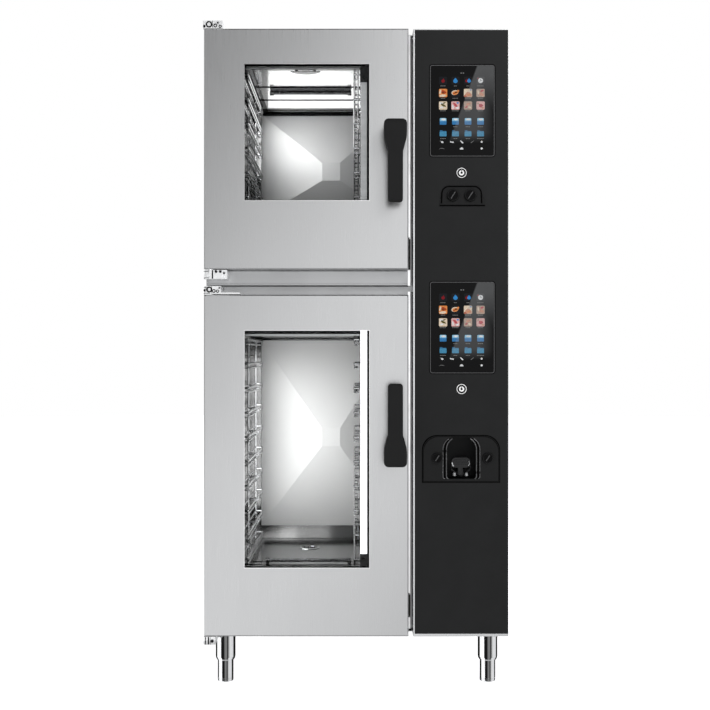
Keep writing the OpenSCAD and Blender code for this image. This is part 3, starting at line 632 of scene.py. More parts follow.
area("key", (2.2, -3.6, 3.6), (0.0, 0.0, 0.9), (1.8, 1.8), 55)
area("fill", (-3.4, -3.4, 1.6), (0.0, 0.0, 0.9), (1.6, 2.4), 8)
area("top", (0.0, -0.4, 4.2), (0.0, 0.0, 0.8), (2.6, 2.6), 45).visible_glossy = False
area("rim_left", (-3.0, 2.8, 2.2), (0.0, 0.3, 1.0), (1.4, 2.2), 25)
area("rim_right", (3.0, 2.8, 2.2), (0.0, 0.3, 1.0), (1.4, 2.2), 25)


def chamber_light(name, loc, look, size, power, spread=180.0):
    """Light inside a chamber, hidden from the camera, so that the windows look as bright as they do."""
    lift = Vector((0.0, 0.0, UP))
    o = area(name, Vector(loc) + lift, Vector(look) + lift, size, power, spread)
    o.visible_camera = False
    o.visible_transmission = False


chamber_light("lower_side", (-0.298, 0.00, 0.64), (0.02, 0.26, 0.62), (0.26, 0.56), 2.35, 140)
chamber_light("lower_fill", (-0.20, -0.26, 0.62), (-0.12, 0.26, 0.57), (0.20, 0.56), 0.55, 110)
chamber_light("upper_side", (-0.298, 0.04, 1.64), (0.04, 0.26, 1.53), (0.24, 0.15), 1.05, 130)
chamber_light("upper_back", (-0.125, 0.20, 1.655), (-0.125, -0.20, 1.655), (0.33, 0.13), 0.14)


FLAG_BANDS = [(0.0, 0.01), (0.33, 0.01), (0.38, 0.19), (0.52, 0.24),
              (0.56, 0.05), (0.70, 0.06), (0.76, 0.6), (1.0, 0.7)]


def flag(name, x0, x1, y, z0, z1):
    """Card in front of a foot: it is only seen as a reflection in the chrome."""
    m = Mat(name, power=1.0, color=(0.0, 0.0, 0.0), spec=0.0)
    across = m.scale_value(m.place()["X"], 0.0, 1.0, x0, x1)
    m.link(m.ramp(across, [(p, (v, v, v)) for p, v in FLAG_BANDS]), m.b.inputs["Emission Color"])
    me = bpy.data.meshes.new(name)
    me.from_pydata([(x0, y, z0), (x1, y, z0), (x1, y, z1), (x0, y, z1)], [], [[0, 1, 2, 3]])
    me.materials.append(m.m)
    o = bpy.data.objects.new(name, me)
    scene.collection.objects.link(o)
    o.visible_camera = o.visible_diffuse = o.visible_shadow = o.visible_transmission = False
    o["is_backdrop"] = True


for side in ("left", "right"):
    lo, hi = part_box("foot_front_" + side)
    fx, fy = (lo.x + hi.x) / 2, (lo.y + hi.y) / 2
    flag("flag_" + side, fx - 0.100, fx + 0.150, fy - 0.105, -0.06, UP + 0.113)

camd = bpy.data.cameras.new("camera")
cam = bpy.data.objects.new("camera", camd)
scene.collection.objects.link(cam)
scene.camera = cam
DOOR_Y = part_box("upper_door_shell")[0].y
DIST = 3.10               # camera to the doors
VIEW_WIDTH = 1.981        # what the picture spans at the doors
EYE_X, EYE_Z = -0.0033, 0.9129
SENSOR = 36.0
camd.sensor_width = SENSOR
camd.lens = SENSOR * DIST / VIEW_WIDTH
camd.clip_start, camd.clip_end = 0.05, 60.0
cam.location = (EYE_X, DOOR_Y - DIST, EYE_Z + UP)
cam.rotation_euler = (math.radians(90), 0.0, 0.0)


# ---------------------------------------------------------------- colours of small parts
LEAN = 0.37               # slope of the edge of the painted reflection across the display


def painted_reflection_mask(m, cz):
    """How much of the painted reflection, a pale diagonal field drawn on the display, covers a point of it.
    """
    place = m.place()
    x, z = place["X"], place["Z"]
    sx, sz = SCREEN_X / 1000, cz / 1000 + UP
    lean = m.math("SUBTRACT", x, m.math("MULTIPLY", z, LEAN))
    edge = sx + 0.0405 - LEAN * (sz + 0.123)
    inside = m.scale_value(lean, 0.0, 1.0, edge - 0.0015, edge + 0.003)
    down = m.scale_value(z, 0.0, 1.0, sz - 0.088, sz + 0.115)
    low = m.scale_value(z, 0.0, 1.0, sz - 0.090, sz - 0.060)
    side = m.scale_value(x, 1.0, 0.0, sx + 0.046, sx + 0.088)
    side = m.math("MAXIMUM", side, m.scale_value(z, 0.0, 1.0, sz - 0.01, sz + 0.10))
    fade = m.math("ADD", m.math("MULTIPLY", down, 0.45), 0.55)
    return m.math("MULTIPLY", inside, m.math("MULTIPLY", m.math("MULTIPLY", low, side), fade))


def lit(name, base, cz, power=0.78, grain=420.0, vary=0.22):
    """A patch of the lit display: its light varies a little, as in a small picture, and the painted
    reflection pales part of it.
    """
    m = Mat(name, spec=0.06, coat=0.04, coat_rough=0.05)
    n = m.noise(grain, 3.0)
    c = m.mix(m.scale_value(n, 0.0, 1.0, 0.3, 0.7), tint(base, 1 - vary), tint(base, 1 + vary))
    # pale grey mixed into the picture where the painted reflection lies
    c = m.mix(m.math("MULTIPLY", painted_reflection_mask(m, cz), 0.34), c, (0.34, 0.345, 0.35))
    m.link(c, m.b.inputs["Emission Color"])
    m.set("power", power)
    m.color(m.mix(m.scale_value(n, 0.0, 1.0, 0.3, 0.7), (0.004, 0.004, 0.005), tint(base, 0.05)))
    m.roughness(m.scale_value(n, 0.12, 0.2, 0.3, 0.7))
    return m.m


M["gap"] = plain("shadow_gap", (0.0016, 0.0016, 0.0016), 0.7, 0.0, 0.02)
# lighter rim round the screens: partly a real rim, partly a painted highlight of its chamfer
M["rim"] = plain("screen_rim_with_painted_highlight", (0.062, 0.062, 0.064), 0.3, 0.0, 0.4)
M["ring"] = plain("light_ring", (0.86, 0.86, 0.86), 0.35)
M["slot"] = plain("cap_slot", (0.060, 0.060, 0.062), 0.30, 0.0, 0.5)
M["bezel"] = plain("recess_bezel", (0.075, 0.076, 0.078), 0.25, 0.0, 0.6)
M["groove"] = plain("panel_seam", (0.05, 0.05, 0.052), 0.5, 0.6)
M["bright"] = polished("bright_edge", (0.90, 0.90, 0.90), 0.12)
M["stud"] = plain("stud_steel", (0.52, 0.53, 0.54), 0.3, 0.3, 0.5)
M["screw"] = polished("dark_screw", (0.10, 0.10, 0.105), 0.2)
M["clip"] = plain("glass_clip", (0.30, 0.305, 0.31), 0.35, 0.8)


# ---------------------------------------------------------------- screens
DISPLAYS = (("upper", 1594.5), ("lower", 989.5))      # centre heights
SCREEN_X = drawn("touch_screens")[0]
HALF_W, HALF_H = 90, 127.5
PICS = {
    "tile_dark": (0.0075, 0.0085, 0.011), "flame": (0.22, 0.006, 0.012), "drop": (0.035, 0.26, 0.62),
    "white": (0.80, 0.82, 0.84), "label": (0.30, 0.30, 0.29), "cream": (0.80, 0.66, 0.50),
    "orange": (0.78, 0.27, 0.07), "sauce": (0.42, 0.055, 0.015), "crust": (0.16, 0.05, 0.012),
    "olive": (0.10, 0.085, 0.015), "pink": (0.78, 0.46, 0.44), "rose": (0.50, 0.085, 0.10),
    "beige": (0.50, 0.36, 0.28), "skin": (0.62, 0.30, 0.20), "folder": (0.035, 0.20, 0.46),
    "folder_top": (0.30, 0.62, 0.86), "folder_flat": (0.06, 0.27, 0.45), "folder_dim": (0.03, 0.15, 0.30),
    "silver": (0.20, 0.20, 0.20),
}
PIC_M = {tag + k: lit(tag + "_display_" + k, c, cz) for k, c in PICS.items() for tag, cz in DISPLAYS}

# eight generic dishes: column, row and ground of each, then its spots of colour with their layer;
# a spot is a blob, or an outline in square brackets, about the middle of the dish
DISHES = (
    (0, 1, "orange", (
        ("cream", 2, (-1, -7.5, 10, 3.4, 4)),
        ("cream", 2, (-8, 3, 2.6, 6.5, -14)),
        ("sauce", 3, (1.5, 2.4, 7.4, 5.2, -12, 16, 0.08, 1)),
        ("crust", 4, (0, 1, 3.4, 2.4, 20, 12, 0.12, 2)),
        ("orange", 4, (6.5, 6.5, 2.6, 2.2)))),
    (1, 1, "tile_dark", (
        ("cream", 2, (-1.5, 1, 10, 6.6, 12)),
        ("orange", 3, (-0.5, 0, 8.6, 5.2, 12, 16, 0.05, 1)),
        ("crust", 4, (1.5, 1.5, 4.6, 2.4, 16, 12, 0.12, 3)),
        ("sauce", 4, (-4, -1.6, 2.4, 1.6, 0)),
        ("orange", 4, (7.4, 6.0, 3.0, 2.6)))),
    (2, 1, "cream", (
        ("skin", 2, [(-10.5, -10.5), (-8, -3), (-2, 3.2), (4.6, 1.8), (10.4, -4), (10.6, -10.5)]),
        ("sauce", 3, [(-11, -10.8), (-10.4, -6), (-4.2, -8.6), (0.5, -10.8)]),
        ("orange", 3, (2, -5, 5.6, 2.6, 26)),
        ("drop", 2, (7.6, 8.6, 2.6, 1.6)))),
    (3, 1, "beige", (
        ("rose", 2, (4, 6, 5.0, 2.8, 20)),
        ("skin", 2, (2, -3.4, 7.2, 4.6, -20, 16, 0.1, 2)),
        ("cream", 2, (-6, 2, 2.6, 6.2, 10)))),
    (0, 2, "cream", (
        ("white", 2, (-4, 5.4, 6, 3, -20)),
        ("olive", 3, (0.6, 0.8, 8.0, 3.0, -30, 16, 0.1, 1)),
        ("olive", 3, (3.4, 7.0, 4.4, 1.8, 24)),
        ("white", 3, (-3.6, -5.4, 5.2, 2.2, 12)))),
    (1, 2, "pink", (
        ("rose", 2, (-1, 2.0, 3.4, 7.4, 40, 14, 0.12, 2)),
        ("white", 2, (5.4, -5.6, 4.2, 3.6)),
        ("rose", 3, (3.4, -1.6, 3.4, 1.8, -30)),
        ("drop", 2, (6.4, 7.2, 3.4, 2.2)),
        ("white", 2, (-7.4, -3.4, 2.2, 6.0, 8)))),
    (2, 2, "beige", (
        ("skin", 2, (1.0, 4.0, 7.0, 3.2, 20, 16, 0.14, 2)),
        ("rose", 2, (-4.6, -4.0, 4.0, 2.4, 30)),
        ("cream", 2, (4.6, -5.0, 4.4, 2.6, -14)))),
    (3, 2, "pink", (
        ("rose", 2, (0.8, -0.2, 6.0, 5.0, 0, 16, 0.12, 1)),
        ("beige", 2, (-6.6, 5.8, 3.4, 2.8)),
        ("skin", 2, (6.4, -6.6, 3.4, 2.6)))),
)
CLOCK_HANDS = [(-0.6, -0.6), (3.6, -0.6), (3.6, 0.6), (0.6, 0.6), (0.6, 4.6), (-0.6, 4.6)]
FOLDER_BACK = [(-9, -2), (-9, 8), (-7, 9.4), (7, 9.4), (9, 8), (9, -2)]
FOLDER_DIM = [(-9, -6), (-9, 8.4), (-2.4, 8.4), (-0.6, 6.4), (9, 6.4), (9, -6)]
CAPTIONS = ((15, 9, 9, 18), (13, 16, 17, 15), (17, 19, 14, 16), (0, 12, 13, 15), (16, 11, 12, 20))


def blob(cx, cz, rx, rz, turn=0.0, n=14, wob=0.0, seed=0):
    """Oval with a slightly wavy edge, turned by some degrees."""
    pts = []
    t = math.radians(turn)
    for i in range(n):
        a = 2 * math.pi * i / n
        k = 1 + wob * math.sin(3 * a + seed) + 0.6 * wob * math.sin(5 * a + 2.1 * seed)
        x, z = rx * k * math.cos(a), rz * k * math.sin(a)
        pts.append((cx + x * math.cos(t) - z * math.sin(t), cz + x * math.sin(t) + z * math.cos(t)))
    return pts


def flame(cx, cz, s):
    shape = [(0, -6), (3.6, -4.6), (5.0, -1.4), (4.2, 1.6), (2.2, 3.2), (2.4, 6.4),
             (-0.4, 4.6), (-1.6, 2.0), (-3.0, 3.0), (-4.6, 0.4), (-4.6, -2.6), (-3.0, -5.0)]
    return [(cx + x * s, cz + z * s) for x, z in shape]


def drop(cx, cz, s):
    turns = [math.radians(a) for a in range(-115, 116, 23)]
    pts = [(cx + 5.4 * s * math.sin(t), cz - 1.2 * s - 4.8 * s * math.cos(t)) for t in turns]
    return pts + [(cx + 1.2 * s, cz + 5.4 * s), (cx - 0.6 * s, cz + 6.6 * s)]


def field_mat(tag, cz):
    """Background of the display, with the painted reflection as a pale diagonal field."""
    m = Mat(tag + "_display_field_with_painted_reflection", spec=0.06, coat=0.04, coat_rough=0.05)
    n = m.noise(20.0, 2.0)
    k = m.math("MULTIPLY", painted_reflection_mask(m, cz), m.scale_value(n, 0.92, 1.08, 0.3, 0.7))
    c = m.mix(k, (0.0012, 0.0012, 0.0014), (0.074, 0.076, 0.078))
    m.link(c, m.b.inputs["Emission Color"])
    m.set("power", 1.0)
    m.color(m.mix(k, (0.002, 0.002, 0.002), (0.004, 0.004, 0.004)))
    m.roughness(m.scale_value(n, 0.12, 0.2, 0.3, 0.7))
    return m.m


def screen(tag, cz):
    """Frame, background and pictures of one display about its centre height."""
    def edge(out, r):
        w, h = HALF_W + out, HALF_H + out
        return rounded(SCREEN_X - w, SCREEN_X + w, cz - h, cz + h, r)

    # black line around the glass, painted shade of the gap, and a thin lighter rim, partly a real rim and
    # partly a painted highlight of its chamfer
    b = Build()
    b.ring(edge(2.6, 9.4), edge(0.1, 6.9), FACE - 0.12, FACE + 0.4)
    b.done(tag + "_screen_painted_gap_shade", M["gap"], "base")
    b = Build()
    b.ring(edge(0, 6.9), edge(-1.9, 5.2), FACE - 0.22, FACE + 0.1)
    b.done(tag + "_screen_rim_with_painted_highlight", M["rim"], "base")
    # background with the painted reflection as a pale diagonal field
    b = Build()
    b.plate(edge(-2.4, 5.0), FACE - 0.07, FACE + 0.01)
    b.done(tag + "_screen_field", field_mat(tag, cz), "base")

    pictures = {}

    def put(key, outline, layer=1):
        pictures.setdefault(key, Build()).plate(outline, FACE - 0.06 - 0.03 * layer, FACE + 0.01)

    cols = [SCREEN_X + dx for dx in (-53.5, -19, 16, 51)]
    rows = [cz + dz for dz in (84, 49.5, 14.5, -30, -63)]
    # heat, steam, both together and a clock
    z = rows[0]
    for x in cols:
        put("tile_dark", rounded(x - 11, x + 11, z - 11, z + 11, 3.0))
    put("flame", flame(cols[0], z, 1.0), 2)
    put("drop", drop(cols[1], z, 1.15), 2)
    put("flame", flame(cols[2] - 3.5, z, 0.9), 2)
    put("drop", drop(cols[2] + 3.0, z, 0.95), 3)
    put("white", circle(cols[3], z, 7.0, 24), 2)
    put("flame", blob(cols[3] - 7, z + 6, 2.6, 2.2), 3)
    put("tile_dark", at(cols[3], z, CLOCK_HANDS), 3)
    for col, row, ground, spots in DISHES:
        x, z = cols[col], rows[row]
        put(ground, rounded(x - 11.5, x + 11.5, z - 11.5, z + 11.5, 3.0))
        for key, layer, form in spots:
            if isinstance(form, list):
                put(key, at(x, z, form), layer)
            else:
                put(key, blob(x + form[0], z + form[1], *form[2:]), layer)
    # four bright folders over four dim ones
    z = rows[3]
    for x in cols:
        put("folder_top", at(x, z, FOLDER_BACK))
        put("white", blob(x + 1.0, z + 5.6, 6.4, 2.6, 0, 14), 2)
        put("folder", rounded(x - 9.4, x + 9.4, z - 9, z + 2.8, 1.8), 3)
        put("folder_top", oblong(x - 9, x + 9, z + 1.0, z + 2.4), 4)
    z = rows[4]
    for x in cols:
        put("folder_dim", at(x, z, FOLDER_DIM))
        put("folder_flat", rounded(x - 9.6, x + 9.6, z - 8.6, z + 4.8, 1.8), 2)
    # caption bars: short plain strokes without any letters
    for z, widths in zip(rows, CAPTIONS):
        for x, w in zip(cols, widths):
            n = w // 4
            for q in range(n):
                a = x - w / 2 + q * w / n
                put("label", oblong(a, a + w / n - 0.9, z - 15.4, z - 14.2))
    # small tool marks in the two bottom rows and a status mark on top
    z = cz - 87
    xs = [SCREEN_X + dx for dx in (-56, -29, -1.5, 28, 54)]
    put("white", blob(xs[0], z - 0.6, 3.6, 2.6, -20), 2)
    put("silver", blob(xs[0] - 4.2, z + 1.8, 2.6, 1.0, -30), 2)
    put("white", at(xs[1], z, [(-5, 2.4), (-5, -1.6), (5.4, -2.8), (5.4, 0.6), (-0.6, 0.8)]), 2)
    put("white", at(xs[2], z, [(-4.6, 3.4), (-2.6, 4.2), (4.8, -2.2), (3.2, -4.4), (-0.6, -2.2)]), 2)
    put("silver", at(xs[3], z, [(-4.6, -1.4), (-3.4, -3.8), (4.6, 3.2), (3.6, 3.8), (-3.0, -1.0)]), 2)
    put("white", blob(xs[4], z, 2.9, 2.4), 2)
    put("cream", at(xs[4], z, [(-1.0, 2.0), (1.0, 2.0), (0, 4.4)]), 3)
    z = cz - 105.5
    curve = [(-66, -2.2), (-60, 1.4), (-54, 1.0), (-48, -2.2), (-54, -0.4), (-60, 0)]
    bell = [(-7.0, -2.6), (3.4, -2.6), (2.6, 0.6), (0, 3.0), (-3.6, 3.0), (-6.2, 0.6)]
    put("silver", at(SCREEN_X, z, curve), 2)
    put("white", at(SCREEN_X, z, bell), 2)
    put("white", blob(SCREEN_X + 54, z, 3.1, 2.9, 0, 12, 0.1, 1), 2)
    z = cz + 105
    for a in (-5.0, 1.2):
        put("silver", rounded(SCREEN_X + a, SCREEN_X + a + 3.8, z - 1.5, z + 1.5, 0.8, 3))
    for key, b in pictures.items():
        b.done(tag + "_screen_" + key, PIC_M[tag + key], "base")


for tag, cz in DISPLAYS:
    screen(tag, cz)

# ---------------------------------------------------------------- power buttons
for name in BUTTONS:
    bx, bz, by, _ = drawn(name)
    tag = name.split("_")[0]
    b = Build()
    b.ring(circle(bx, bz, 13.9, 48), circle(bx, bz, 12.1, 48), by - 0.35, by + 0.3)
    b.ring(circle(bx, bz, 7.3, 40), circle(bx, bz, 3.3, 40), by - 0.30, by + 0.2)
    b.plate([(bx - 1.3, bz + 7.0), (bx + 1.3, bz + 7.0), (bx, bz + 10.0)], by - 0.30, by + 0.2)
    b.done(tag + "_power_ring", M["ring"], name)
    b = Build()
    b.plate(oblong(bx - 0.8, bx + 0.8, bz + 3.0, bz + 8.2), by - 0.36, by)
    b.ring(circle(bx, bz, 12.0, 48), circle(bx, bz, 7.4, 48), by - 0.22, by + 0.2)
    b.plate(circle(bx, bz, 3.2, 24), by - 0.22, by + 0.2)
    b.done(tag + "_power_tick", M["gap"], name)

# ---------------------------------------------------------------- caps and the recess of the hand shower
SLOT_TURN = math.radians(57)
GRIPS = 24
for name in CAPS:
    cx, cz, cy, width = drawn(name)
    r = width / 2
    ux, uz = math.cos(SLOT_TURN), math.sin(SLOT_TURN)
    b = Build()
    slot = oblong(4.6 - r, r - 4.6, -1.3, 1.3)
    b.plate([(cx + x * ux - z * uz, cz + x * uz + z * ux) for x, z in slot], cy + 1.2, cy + 3.2)
    b.done(name + "_slot", M["slot"], name)
    b = Build()
    b.ring(circle(cx, cz, r - 0.6, 40), circle(cx, cz, r - 1.8, 40), cy - 0.3, cy + 0.2)
    for i in range(GRIPS):
        a = 2 * math.pi * i / GRIPS
        ux, uz = math.cos(a), math.sin(a)
        root_x, root_z = cx + ux * (r - 0.3), cz + uz * (r - 0.3)
        b.plate([(root_x - uz * 0.7, root_z + ux * 0.7), (cx + ux * (r + 0.35), cz + uz * (r + 0.35)),
                 (root_x + uz * 0.7, root_z - ux * 0.7)], cy + 0.8, cy + 5.0)
    b.done(name + "_grip", M["dark"], name)


def side_line(s):
    """Outline of the recess on one side, from its top corner to its bottom corner."""
    x = 242.0 if s < 0 else 345.0
    pts = arc(-34, 650, 34, 60, 0, 6) + [(0, 640 - 10 * i) for i in range(7)] + arc(-6, 574, 6, -20, -80, 3)
    return [(x + s * out, z) for out, z in pts]


CHEEK = 9.5               # width of the rounded edge of the recess
b = Build()
for s in (-1, 1):
    b.tube([(x, FACE - 2.2, z) for x, z in side_line(s)], 1.3)
    b.tube([(x - s * CHEEK, FACE - 1.0, z) for x, z in side_line(s)], 1.5)
b.done("shower_recess_bezel", M["bezel"], "base")
b = Build()
# black plates over the rounded sides of the recess: painted shade inside it
for s in (-1, 1):
    line = side_line(s)
    b.plate(line + [(x - s * CHEEK, z) for x, z in reversed(line)], FACE - 1.2, FACE + 8.0)
b.done("shower_recess_painted_shade", M["gap"], "base")


def shower_edge(g):
    """Outline of the shower plate, g wider: square foot, arched top."""
    x0, x1, z0, z1, r = 186 - g, 399 + g, 559 - g, 687 + g, 42
    top = arc(x1 - r, z1 - r, r, 0, 90, 10) + arc(x0 + r, z1 - r, r, 90, 180, 10)
    return [(x0, z0), (x1, z0)] + top


# black lines round the shower plate and along the socket plate's arch and foot: painted shade at the plates'
# edges
b = Build()
b.ring(shower_edge(2.6), shower_edge(0.0), FACE - 0.2, FACE + 0.4)
b.ring(shower_edge(-0.9), shower_edge(-2.2), FACE - 2.15, FACE - 1.6)
b.done("shower_plate_painted_shade_line", M["gap"], "base")
b = Build()
arch = arc(259, 1363, 20, 180, 90, 9) + arc(329, 1363, 20, 90, 0, 9)
arch = [(238.0, 1336.0)] + arch + [(350.0, 1336.0)]
b.tube([(x, FACE - 2.0, z) for x, z in arch], 1.9)
b.tube([(233.0, FACE - 1.4, 1330.0), (359.0, FACE - 1.4, 1330.0)], 1.9)
b.done("socket_plate_painted_shade_line", M["gap"], "base")

# hand shower: nozzle field, side wings of its cradle, two metal studs, two painted highlights on the head
# and the ribbed hose
HEAD_X = 292.5
b = Build()
for i in range(-3, 4):
    for j in (-1, 0, 1):
        x = HEAD_X + 5.2 * i + (2.6 if j else 0)
        b.lathe((x, -368.0, 612 + 4.6 * j), (0, -1, 0), [(0.0, 1.1), (0.8, 1.0), (1.1, 0.5)], 8)
b.done("shower_nozzles", M["gap"], "shower_head")
b = Build()
for s in (-1, 1):
    wing = ((22, -362, 606), (27, -364, 600), (25, -364, 592), (16, -362, 586))
    b.tube([(HEAD_X + s * out, y, z) for out, y, z in wing], 2.0, 10)
b.done("shower_wings", M["head"], "shower_head")
b = Build()
for s in (-1, 1):
    stud = [(0, 3.6), (1.0, 4.4), (8.0, 4.0), (9.5, 2.8), (10.0, 1.0)]
    b.lathe((HEAD_X + s * 17, -352.0, 573.5), (0, 0, 1), stud, 20)
# two light steel streaks on the face of the head are painted highlights
for r, glint in ((1.7, ((-24.5, -366.9, 613), (-23.5, -367.2, 607), (-20.5, -366.9, 602))),
                 (0.8, ((20.5, -366.9, 604), (24.5, -367.2, 609), (22.5, -366.9, 616)))):
    b.tube([(HEAD_X + dx, y, z) for dx, y, z in glint], r)
b.done("shower_studs_and_painted_highlights", M["stud"], "shower_head")
b = Build()
for i in range(44):
    b.lathe((HEAD_X, -345 + 5.2 * i, 580), (0, 1, 0), [(0, 7.0), (0.9, 7.55), (2.1, 7.55), (3.0, 7.0)], 18)
b.done("shower_hose_ribs", M["clip"], "shower_head")

# ---------------------------------------------------------------- windows and light strips
# heights of each window, of the light strip beside it and of the strip's end cap
for tag, (w0, w1), (z0, z1), (c0, c1) in (
        ("upper", (1344.5, 1724.8), (1342.0, 1673.0), (1676.3, 1734.8)),
        ("lower", (319.0, 981.0), (361.0, 984.0), (309.0, 356.5))):
    body = tag + "_door"
    b = Build()
    b.ring(oblong(-313.0, 37.9, w0 - 1.4, w1 + 1.4), oblong(-311.7, 36.6, w0 + 0.1, w1 - 0.1),
           FACE - 0.25, FACE + 0.3)
    b.done(tag + "_window_edge", M["bright"], body)
    # black printed border on the inner face of the inner pane, clips and screws around it
    b = Build()
    b.ring(rounded(-336.6, 57.5, w0 - 17, w1 + 17, 6), rounded(-326, 50, w0 - 7, w1 + 7, 4), -325.2, -324.7)
    b.done(tag + "_pane_border", M["gap"], body)
    b = Build()
    for x, s in ((-343.0, -1), (63.5, 1)):
        for z in (w0 + 30, (w0 + w1) / 2, w1 - 30):
            b.plate(rounded(x - 8, x + 8, z - 13, z + 13, 3), -323.4, -321.4, 0.6)
            b.lathe((x + s * 2.5, -321.6, z), (0, 1, 0), [(0, 4.2), (1.4, 4.2), (2.0, 3.0)], 20)
    b.done(tag + "_pane_clips", M["clip"], body)
    # dark edge and fine bright line of the light strip, and the screws of its end cap
    b = Build()
    b.plate(oblong(30.2, 31.3, z0 - 3, z1 + 3), -361.0, -352.0)
    b.done(tag + "_strip_edge", M["gap"], body)
    b = Build()
    b.tube([(12.6, -359.4, z0 - 2), (12.6, -359.4, z1 + 2)], 0.7)
    b.done(tag + "_strip_line", M["bright"], body)
    b = Build()
    for z in (c0 + 12, c1 - 12):
        b.lathe((21, -361.8, z), (0, -1, 0), [(0, 3.6), (0.9, 3.4), (1.3, 2.4)], 20)
    b.done(tag + "_strip_screws", M["gap"], body)

# ---------------------------------------------------------------- bright strip beside the doors
b = Build()
for z0, z1, split in ((137.5, 168, False), (168, 238, True), (238, 1092.5, False),
                      (1109.5, 1153, False), (1153, 1247, True), (1247, 1820.5, False)):
    for x0, x1 in (((146.6, 148.8), (151.6, 153.8)) if split else ((146.6, 153.8),)):
        b.plate(oblong(x0, x1, z0, z1), -316.7, -315.9)
b.done("strip_trim", M["bright"], "base")
b = Build()
for z0, z1 in ((170, 237), (1155, 1245)):
    b.plate([(147.5, z0), (153.4, z0), (153.4, z1 - 5), (150.6, z1), (147.5, z1)], -317.6, -316.75)
b.done("strip_trim_slots", M["gap"], "base")

# ---------------------------------------------------------------- chambers
RACKS = (("left", -331.0, 1), ("right", 17.0, -1))    # x of the posts, and which way is inward
DRAIN_X, DRAIN_Y = -146, 29
DROP = 13                 # how far the lower wires hang under a tray guide
for tag, floor_z, ceil_z, levels in (("upper", 1343.0, 1725.0, 6), ("lower", 306.0, 968.0, 10)):
    # dark lines across the ceiling: painted reflection of the cross bars in the polished ceiling
    b = Build()
    for y in ((-103.0, 68.0, 212.0) if tag == "upper" else (68.0,)):
        b.box(-340, 48, y - 1.4, y + 1.4, ceil_z - 2.6, ceil_z + 0.6)
    b.done(tag + "_ceiling_painted_reflection_lines", M["gap"], "base")
    # strainer over the drain
    b = Build()
    b.lathe((DRAIN_X, DRAIN_Y, floor_z), (0, 0, 1), [(0.1, 33.0), (1.6, 32.0), (2.0, 26.0), (0.1, 24.5)], 48)
    for i in range(-3, 4):
        x, z = DRAIN_X + 6.6 * i, floor_z + 0.8
        w = math.sqrt(25.0 ** 2 - (6.6 * i) ** 2)
        b.tube([(x, DRAIN_Y - w, z), (x, DRAIN_Y + w, z)], 1.3)
    b.done(tag + "_drain_strainer", M["wire"], "base")
    # dark lines across the floor: painted shade of its rounded troughs
    b = Build()
    for y in (-300.0, -250.0, -205.0, 212.0):
        b.tube([(-330, y, floor_z + 0.15), (38, y, floor_z + 0.15)], 0.9)
    b.done(tag + "_floor_painted_shade_lines", M["gap"], "base")
    # two lower wires of every tray guide, joined to it by short drops; the lowest guide on the right
    # has none, because the bar over the floor passes there when the rack is shifted
    for side, px, s in RACKS:
        b = Build()
        for i in range(1 if side == "right" else 0, levels):
            z = floor_z + 22 + 70 * i
            for out in (22, 11):
                b.tube([(px + s * out, -286, z - DROP), (px + s * out, 200, z - DROP)], 2.2)
            for y in range(-286, 201, 81):
                b.tube([(px + s * 22, y, z), (px + s * 22, y, z - DROP), (px + s * 9, y, z - DROP)], 1.8)
        b.done(tag + "_guide_wires_" + side, M["wire"], tag + "_rack_" + side)
    # end collars of the posts
    for side, px, s in RACKS:
        b = Build()
        for y in (-290, -42.5, 205):
            for z in (floor_z + 2, ceil_z - 14):
                b.lathe((px, y, z), (0, 0, 1), [(0, 5.4), (0.8, 6.2), (7.4, 6.2), (8.2, 5.4)], 18)
        b.done(tag + "_post_collars_" + side, M["chrome"], tag + "_rack_" + side)

# thin sheet under the upper ceiling in the brighter steel: painted light that makes the ceiling look white
b = Build()
b.box(-292, 44, -300, 262, 1724.4, 1724.9)
b.done("upper_ceiling_painted_bright_sheet", M["ceiling"], "base")
b = Build()
b.plate(oblong(-378, 146, 1105.2, 1107.4), -352.0, -350.0)
b.done("gutter_shadow_gap", M["gap"], "base")

# dark strip along the top of the upper baffle, painted shade of the gap there, and the dark bar under the
# ceiling
b = Build()
b.box(-317, 27, 262.5, 292, 1717.0, 1723.2)
b.done("upper_baffle_painted_shade_strip", M["gap"], "upper_baffle")
b = Build()
b.box(-262, -16, -77, -53, 1718.0, 1724.3)
b.done("upper_bar_strip", M["screw"], "base")


# ---------------------------------------------------------------- hinges
def hinge_dress(name, z0, z1, front, screws, seams, top=None):
    """Screws (x, z, radius), seams (x, width) and round top cap of a hinge between two heights."""
    b = Build()
    for x, z, r in screws:
        head = [(0, r), (2.2, r), (2.9, r - 0.7), (2.9, 0.55 * r), (1.2, 0.5 * r)]
        b.lathe((x, front + 0.3, z), (0, -1, 0), head, 24)
    if top:
        x, y, z, r = top
        dome = [(0, r + 1.6), (0.8, r + 1.6), (0.9, r), (1.8, 0.92 * r), (2.9, 0.62 * r), (3.4, 0.2 * r)]
        b.lathe((x, y, z - 0.4), (0, 0, 1), dome, 28)
    b.done(name + "_screws", M["screw"], "base")
    b = Build()
    for x, w in seams:
        b.plate(oblong(x - w / 2, x + w / 2, z0 + 0.6, z1 - 0.6), front - 0.25, front + 0.3)
    for x, z, r in screws:
        b.plate(circle(x, z, 0.5 * r, 6), front - 1.3, front - 0.4)
    b.done(name + "_seams", M["gap"], "base")


